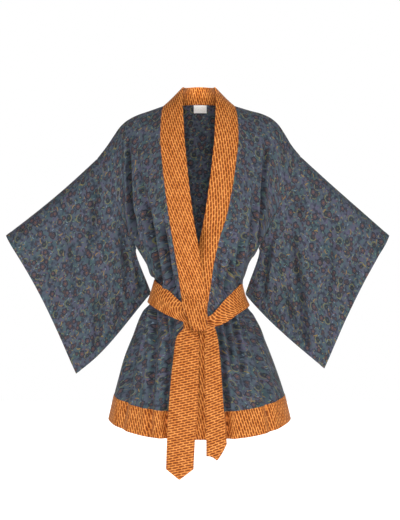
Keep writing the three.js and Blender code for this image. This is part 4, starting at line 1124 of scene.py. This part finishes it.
def flower(material, cloth, under, spacing, shift, size, petals, share, stops):
    """A layer of small round flowers: each has petals, a centre and a size of its own."""
    distance, angle, chances = scattered(material, cloth, spacing, shift)
    turned = add(material, "Math", {0: angle, 1: petals, 2: chances[1]}, operation="MULTIPLY_ADD")
    lobes = add(material, "Math", {0: turned}, operation="COSINE")
    outline = add(material, "Math", {0: lobes, 1: -PETAL_DEPTH, 2: 1.0}, operation="MULTIPLY_ADD")
    inputs = {0: chances[0], 1: FLOWER_SIZES["spread"] * size, 2: FLOWER_SIZES["least"] * size}
    own_size = add(material, "Math", inputs, operation="MULTIPLY_ADD")
    radius = add(material, "Math", {0: own_size, 1: outline}, operation="MULTIPLY")
    reach = add(material, "Math", {0: distance, 1: radius}, operation="DIVIDE")
    colour = add(material, "ValToRGB", {0: reach}, stops=stops)
    shown = add(material, "Math", {0: chances[2], 1: share}, operation="LESS_THAN")
    return printed(material, under, colour, reach, 1.0, PRINT_BLUR["flower"], shown)


def sprig(material, cloth, under, spacing, shift, radius, half_width, turn, colour, share):
    """A layer of short curved stems: a piece of a ring, turned by chance."""
    distance, angle, chances = scattered(material, cloth, spacing, shift)
    off_ring = add(material, "Math", {0: distance, 1: radius}, operation="SUBTRACT")
    away = add(material, "Math", {0: off_ring}, operation="ABSOLUTE")
    facing = add(material, "Math", {0: chances[0], 1: -math.tau, 2: angle}, operation="MULTIPLY_ADD")
    along = add(material, "Math", {0: facing}, operation="COSINE")
    inputs = {0: along, 1: math.cos(turn), 2: 1.0, 3: 0.0, 4: half_width}
    tapered = add(material, "MapRange", inputs, interpolation_type="SMOOTHSTEP")
    gap = add(material, "Math", {0: away, 1: tapered}, operation="SUBTRACT")
    chosen = add(material, "Math", {0: chances[2], 1: share}, operation="LESS_THAN")
    on_arc = add(material, "Math", {0: tapered, 1: STEM_ENDS}, operation="GREATER_THAN")
    shown = add(material, "Math", {0: chosen, 1: on_arc}, operation="MULTIPLY")
    return printed(material, under, linear(colour), gap, 0.0, PRINT_BLUR["stem"], shown)


def sized(place, width, detail=2.0):
    """What a noise takes so that its grains have a width in millimetres."""
    return {"Vector": place, "Scale": 1 / (width * MM), "Detail": detail}


def rippled(place, width, direction, **more):
    """What a wave takes so that its bands have a width in millimetres."""
    return {"Vector": place, "Scale": BAND_SCALE[direction] / (width * MM), **more}


def printed_crepe():
    """Printed viscose crepe: a soft matt slate ground with cloudy teal and mauve, small round
    flowers and fine ochre and green stems. The pebbled crepe gives the light a faint grain."""
    material = new_material("printed viscose crepe")
    cloth = add(material, "UVMap", {}, uv_map="cloth")
    cloud = add(material, "TexNoise", sized(cloth, CREPE["cloud"]), noise_dimensions="2D")
    colour = add(material, "ValToRGB", {0: cloud}, stops=GROUND)
    speckle = add(material, "TexNoise", sized(cloth, CREPE["fleck"], 1.5), noise_dimensions="2D")
    for hex_colour, start, full, strength in FLECKS:
        mask = add(material, "MapRange", {0: speckle, 1: start, 2: full, 3: 0.0, 4: strength})
        colour = add(material, "Mix", {0: mask, 6: colour, 7: linear(hex_colour)}, 2, data_type="RGBA")
    for row in STEMS:
        colour = sprig(material, cloth, colour, **row)
    for row in FLOWERS:
        colour = flower(material, cloth, colour, **row)
    rumple = add(material, "TexNoise", sized(cloth, CREPE["rumple"], 2.5), noise_dimensions="2D")
    pebble = add(material, "TexNoise", sized(cloth, CREPE["pebble"], 3.0), noise_dimensions="2D")
    bumps = [(rumple, 0.5, 0.004), (pebble, 0.35, 0.0006)]
    return finish_material(material, bumps, {"Base Color": colour, "Roughness": 0.78, **SOFT_FINISH})


def dashed_cotton():
    """Printed cotton twill: a warm orange ground with rust dashes in half-dropped columns, soft and
    matt. Its dashes catch the eye as a slanting brick pattern."""
    material = new_material("dash printed cotton")
    cloth = add(material, "UVMap", {}, uv_map="cloth")
    inputs = sized(cloth, COTTON["wobble"])
    wobble = add(material, "TexNoise", inputs, "Color", noise_dimensions="2D")
    centred = add(material, "VectorMath", {0: wobble, 1: (0.5, 0.5, 0.5)}, operation="SUBTRACT")
    wavy = add(material, "VectorMath", {0: centred, "Scale": DASH["wobble"] * MM}, operation="SCALE")
    place = add(material, "VectorMath", {0: cloth, 1: wavy}, operation="ADD")
    x, y, _ = add(material, "SeparateXYZ", {0: place}).node.outputs
    column = add(material, "Math", {0: x, 1: 1 / (DASH["column"] * MM)}, operation="MULTIPLY")
    number = add(material, "Math", {0: column}, operation="FLOOR")
    drop = add(material, "Math", {0: y, 1: 1 / (DASH["period"] * MM)}, operation="MULTIPLY")
    dropped = add(material, "Math", {0: number, 1: DASH["drop"], 2: drop}, operation="MULTIPLY_ADD")
    reaches = []
    for value, step, size in ((column, "column", "width"), (dropped, "period", "length")):
        within = add(material, "Math", {0: value}, operation="FRACT")
        most = DASH[step] / DASH[size]
        off = add(material, "MapRange", {0: within, 1: 0.0, 2: 1.0, 3: -most, 4: most})
        reaches.append(add(material, "Math", {0: off, 1: off}, operation="MULTIPLY"))
    wide, long = reaches
    reach = add(material, "Math", {0: long, 1: long, 2: wide}, operation="MULTIPLY_ADD")
    tone = add(material, "TexNoise", sized(cloth, COTTON["tone"]), noise_dimensions="2D")
    ground = add(material, "ValToRGB", {0: tone}, stops=[(0.35, "#D07F36"), (0.65, "#E2954C")])
    dash = add(material, "ValToRGB", {0: tone}, stops=[(0.35, "#76340A"), (0.65, "#8C4614")])
    colour = printed(material, ground, dash, reach, DASH_EDGE, PRINT_BLUR["dash"], 1.0)
    rumple = add(material, "TexNoise", sized(cloth, COTTON["rumple"]), noise_dimensions="2D")
    inputs = rippled(cloth, COTTON["ripple"], "DIAGONAL", Distortion=0.6, Detail=1.0)
    ripple = add(material, "TexWave", inputs, bands_direction="DIAGONAL")
    bumps = [(rumple, 0.5, 0.003), (ripple, 0.3, 0.0004)]
    return finish_material(material, bumps, {"Base Color": colour, "Roughness": 0.72, **SOFT_FINISH})


def label_satin():
    """Woven polyester satin: smooth white with a soft gloss, left blank."""
    material = new_material("white label satin")
    cloth = add(material, "UVMap", {}, uv_map="cloth")
    tone = add(material, "TexNoise", sized(cloth, SATIN["tone"]), noise_dimensions="2D")
    colour = add(material, "ValToRGB", {0: tone}, stops=[(0.3, "#E9E7E2"), (0.7, "#F8F6F2")])
    rib = add(material, "TexWave", rippled(cloth, SATIN["ripple"], "Y"), bands_direction="Y")
    sockets = {"Base Color": colour, "Roughness": 0.45, "Sheen Weight": 0.1}
    return finish_material(material, [(rib, 0.3, 0.0003)], sockets)


def sewing_thread(name, *tones):
    """Spun polyester thread: matt, a little lighter or darker from stitch to stitch."""
    material = new_material(name)
    place = add(material, "TexCoord", {}, "Object")
    tone = add(material, "TexNoise", sized(place, THREAD["tone"], 1.0))
    colour = add(material, "ValToRGB", {0: tone}, stops=list(zip((0.3, 0.7), tones)))
    inputs = rippled(place, THREAD["twist"], "DIAGONAL")
    twist = add(material, "TexWave", inputs, bands_direction="DIAGONAL")
    return finish_material(material, [(twist, 0.3, 0.0002)], {"Base Color": colour, "Roughness": 0.6})


crepe = printed_crepe()
cotton = dashed_cotton()
satin = label_satin()
slate_thread = sewing_thread("slate polyester thread", "#39424C", "#4A5560")
rust_thread = sewing_thread("rust polyester thread", "#9A5320", "#B8692E")
white_thread = sewing_thread("white polyester thread", "#E4E1DA", "#F4F2EC")

# All the pieces, by the name of the CAD node that each stands for

faces = {
    "back": back_cloth(LEVELS),
    "hem_border_back": border_cloth(back_cloth(BORDER_LEVELS, BAND_RISE), 1),
    "neckband": band_cloth(),
    "belt_waist": belt_cloth(),
    "belt_end_long": end_cloth(LONG_END, LONG_END_TIP, LONG_END_LEAN),
    "belt_end_short": end_cloth(SHORT_END, SHORT_END_TIP, SHORT_END_LEAN),
    "belt_knot": knot_cloth(),
    "label": label_cloth(),
}
for side in SIDE_SIGN:
    faces[f"front_{side}"] = front_cloth(side, LEVELS)
    faces[f"sleeve_{side}"] = sleeve_cloth(side)
    faces[f"hem_border_front_{side}"] = border_cloth(front_cloth(side, BORDER_LEVELS, BAND_RISE), -1)

CLOTH = rows_of(
    "slot look thickness nodes",
    ("printed_cloth", crepe, PRINTED, "front_left sleeve_left front_right sleeve_right back"),
    ("contrast_cloth", cotton, BORDER, "hem_border_front_left hem_border_front_right hem_border_back"),
    ("contrast_cloth", cotton, DOUBLED, "neckband belt_waist belt_end_long belt_end_short belt_knot"),
    ("label_cloth", satin, LABEL["thickness"], "label"),
)
for row in CLOTH:
    for node in row["nodes"].split():
        name = "blank_label" if node == "label" else node + "_cloth"
        piece = cloth_piece(name, faces[node], row["thickness"])
        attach(piece, "root")
        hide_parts(node)
        piece.data.materials.clear()
        piece.data.materials.append(row["look"])

# The sewn rows: along which edges of a piece, how far inside them and in which thread
SEAMS = rows_of(
    "node edges inset look",
    ("hem_border_front_left", "top", "contrast", rust_thread),
    ("sleeve_left", "foot", "cuff", slate_thread),
    ("hem_border_front_right", "top", "contrast", rust_thread),
    ("sleeve_right", "foot", "cuff", slate_thread),
    ("hem_border_back", "top", "contrast", rust_thread),
    ("neckband", "first", "contrast", rust_thread),
    ("belt_waist", "top foot", "contrast", rust_thread),
    ("belt_end_long", "first last foot", "contrast", rust_thread),
    ("belt_end_short", "first last foot", "contrast", rust_thread),
    ("label", "first last", "label", white_thread),
)
for row in SEAMS:
    node = row["node"]
    lines = edge_lines(faces[node], row["edges"], STITCH_INSET[row["inset"]])
    seam = sewing(node + "_stitches", lines)
    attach(seam, "root")
    seam.data.materials.append(row["look"])

# The cut of each piece of cloth, of what shows, in metres; the neckband and belt are folded double
SHEETS = rows_of(
    "node width length area held rests_on",
    ("back", 0.62, 0.80, 0.37, "hung", ()),
    ("front_left", 0.30, 0.80, 0.17, "hung", ("back",)),
    ("front_right", 0.29, 0.80, 0.16, "hung", ("back",)),
    ("sleeve_left", 0.82, 0.31, 0.24, "hung", ("back", "front_left")),
    ("sleeve_right", 0.82, 0.31, 0.24, "hung", ("back", "front_right")),
    ("neckband", 0.064, 1.99, None, "hung", ("back", "front_left", "front_right")),
    ("hem_border_back", 0.605, 0.067, None, "hung", ("back",)),
    ("hem_border_front_left", 0.302, 0.066, None, "hung", ("front_left",)),
    ("hem_border_front_right", 0.298, 0.066, None, "hung", ("front_right",)),
    ("belt_waist", 0.70, 0.052, None, "stretched", ("back", "front_left", "front_right")),
    ("belt_knot", 0.068, 0.083, None, "folded", ("belt_waist",)),
    ("belt_end_long", 0.070, 0.360, 0.0238, "hung", ("belt_knot",)),
    ("belt_end_short", 0.049, 0.315, 0.0134, "hung", ("belt_knot",)),
    ("label", 0.033, 0.0195, None, "hung", ("back",)),
)
for cut in SHEETS:
    node = cut["node"]

# Studio: a pale floor, five soft lights and a narrow beam that lights the inside of the neck

bpy.ops.mesh.primitive_plane_add(size=FLOOR["size"], location=(0, 0, FLOOR["z"]))
floor = bpy.context.object
floor.name = "floor"
floor_paint = new_material("pale matt floor")
paint = {
    "Base Color": linear("#F4F3F1"),
    "Roughness": 0.9,
    "Emission Color": linear("#FFFFFF"),
    "Emission Strength": FLOOR["glow"],
}
floor.data.materials.append(finish_material(floor_paint, [], paint))
floor.select_set(False)

for lamp in LIGHTS:
    aim = np.array(lamp["aim"]) - np.array(lamp["place"])
    tilt = math.acos(-aim[2] / np.linalg.norm(aim))
    turn = math.atan2(aim[0], -aim[1])
    bpy.ops.object.light_add(type="AREA", location=lamp["place"], rotation=(tilt, 0, math.pi + turn))
    light = bpy.context.object
    light.name = lamp["name"]
    light.data.size = lamp["size"]
    light.data.energy = lamp["watts"]
    light.select_set(False)

bpy.ops.object.light_add(type="SPOT", location=NECK_BEAM["place"], rotation=(math.radians(90), 0, 0))
beam = bpy.context.object
beam.name = "neck"
beam.data.energy = NECK_BEAM["watts"]
beam.data.spot_size = math.radians(NECK_BEAM["degrees"])
beam.data.spot_blend = 1.0
beam.data.shadow_soft_size = NECK_BEAM["source"]
beam.select_set(False)

world = bpy.data.worlds.new("studio")
bpy.context.scene.world = world
world.use_nodes = True
backdrop = world.node_tree.nodes["Background"]
backdrop.inputs["Color"].default_value = linear("#FFFFFF")
# The camera sees a white backdrop; the robe gets less light from it
ray = add(world, "LightPath", {}, "Is Camera Ray")
strength = add(world, "Math", {0: ray, 1: 1.0 - AMBIENT, 2: AMBIENT}, operation="MULTIPLY_ADD")
world.node_tree.links.new(strength, backdrop.inputs["Strength"])
bpy.context.scene.view_settings.view_transform = "Standard"
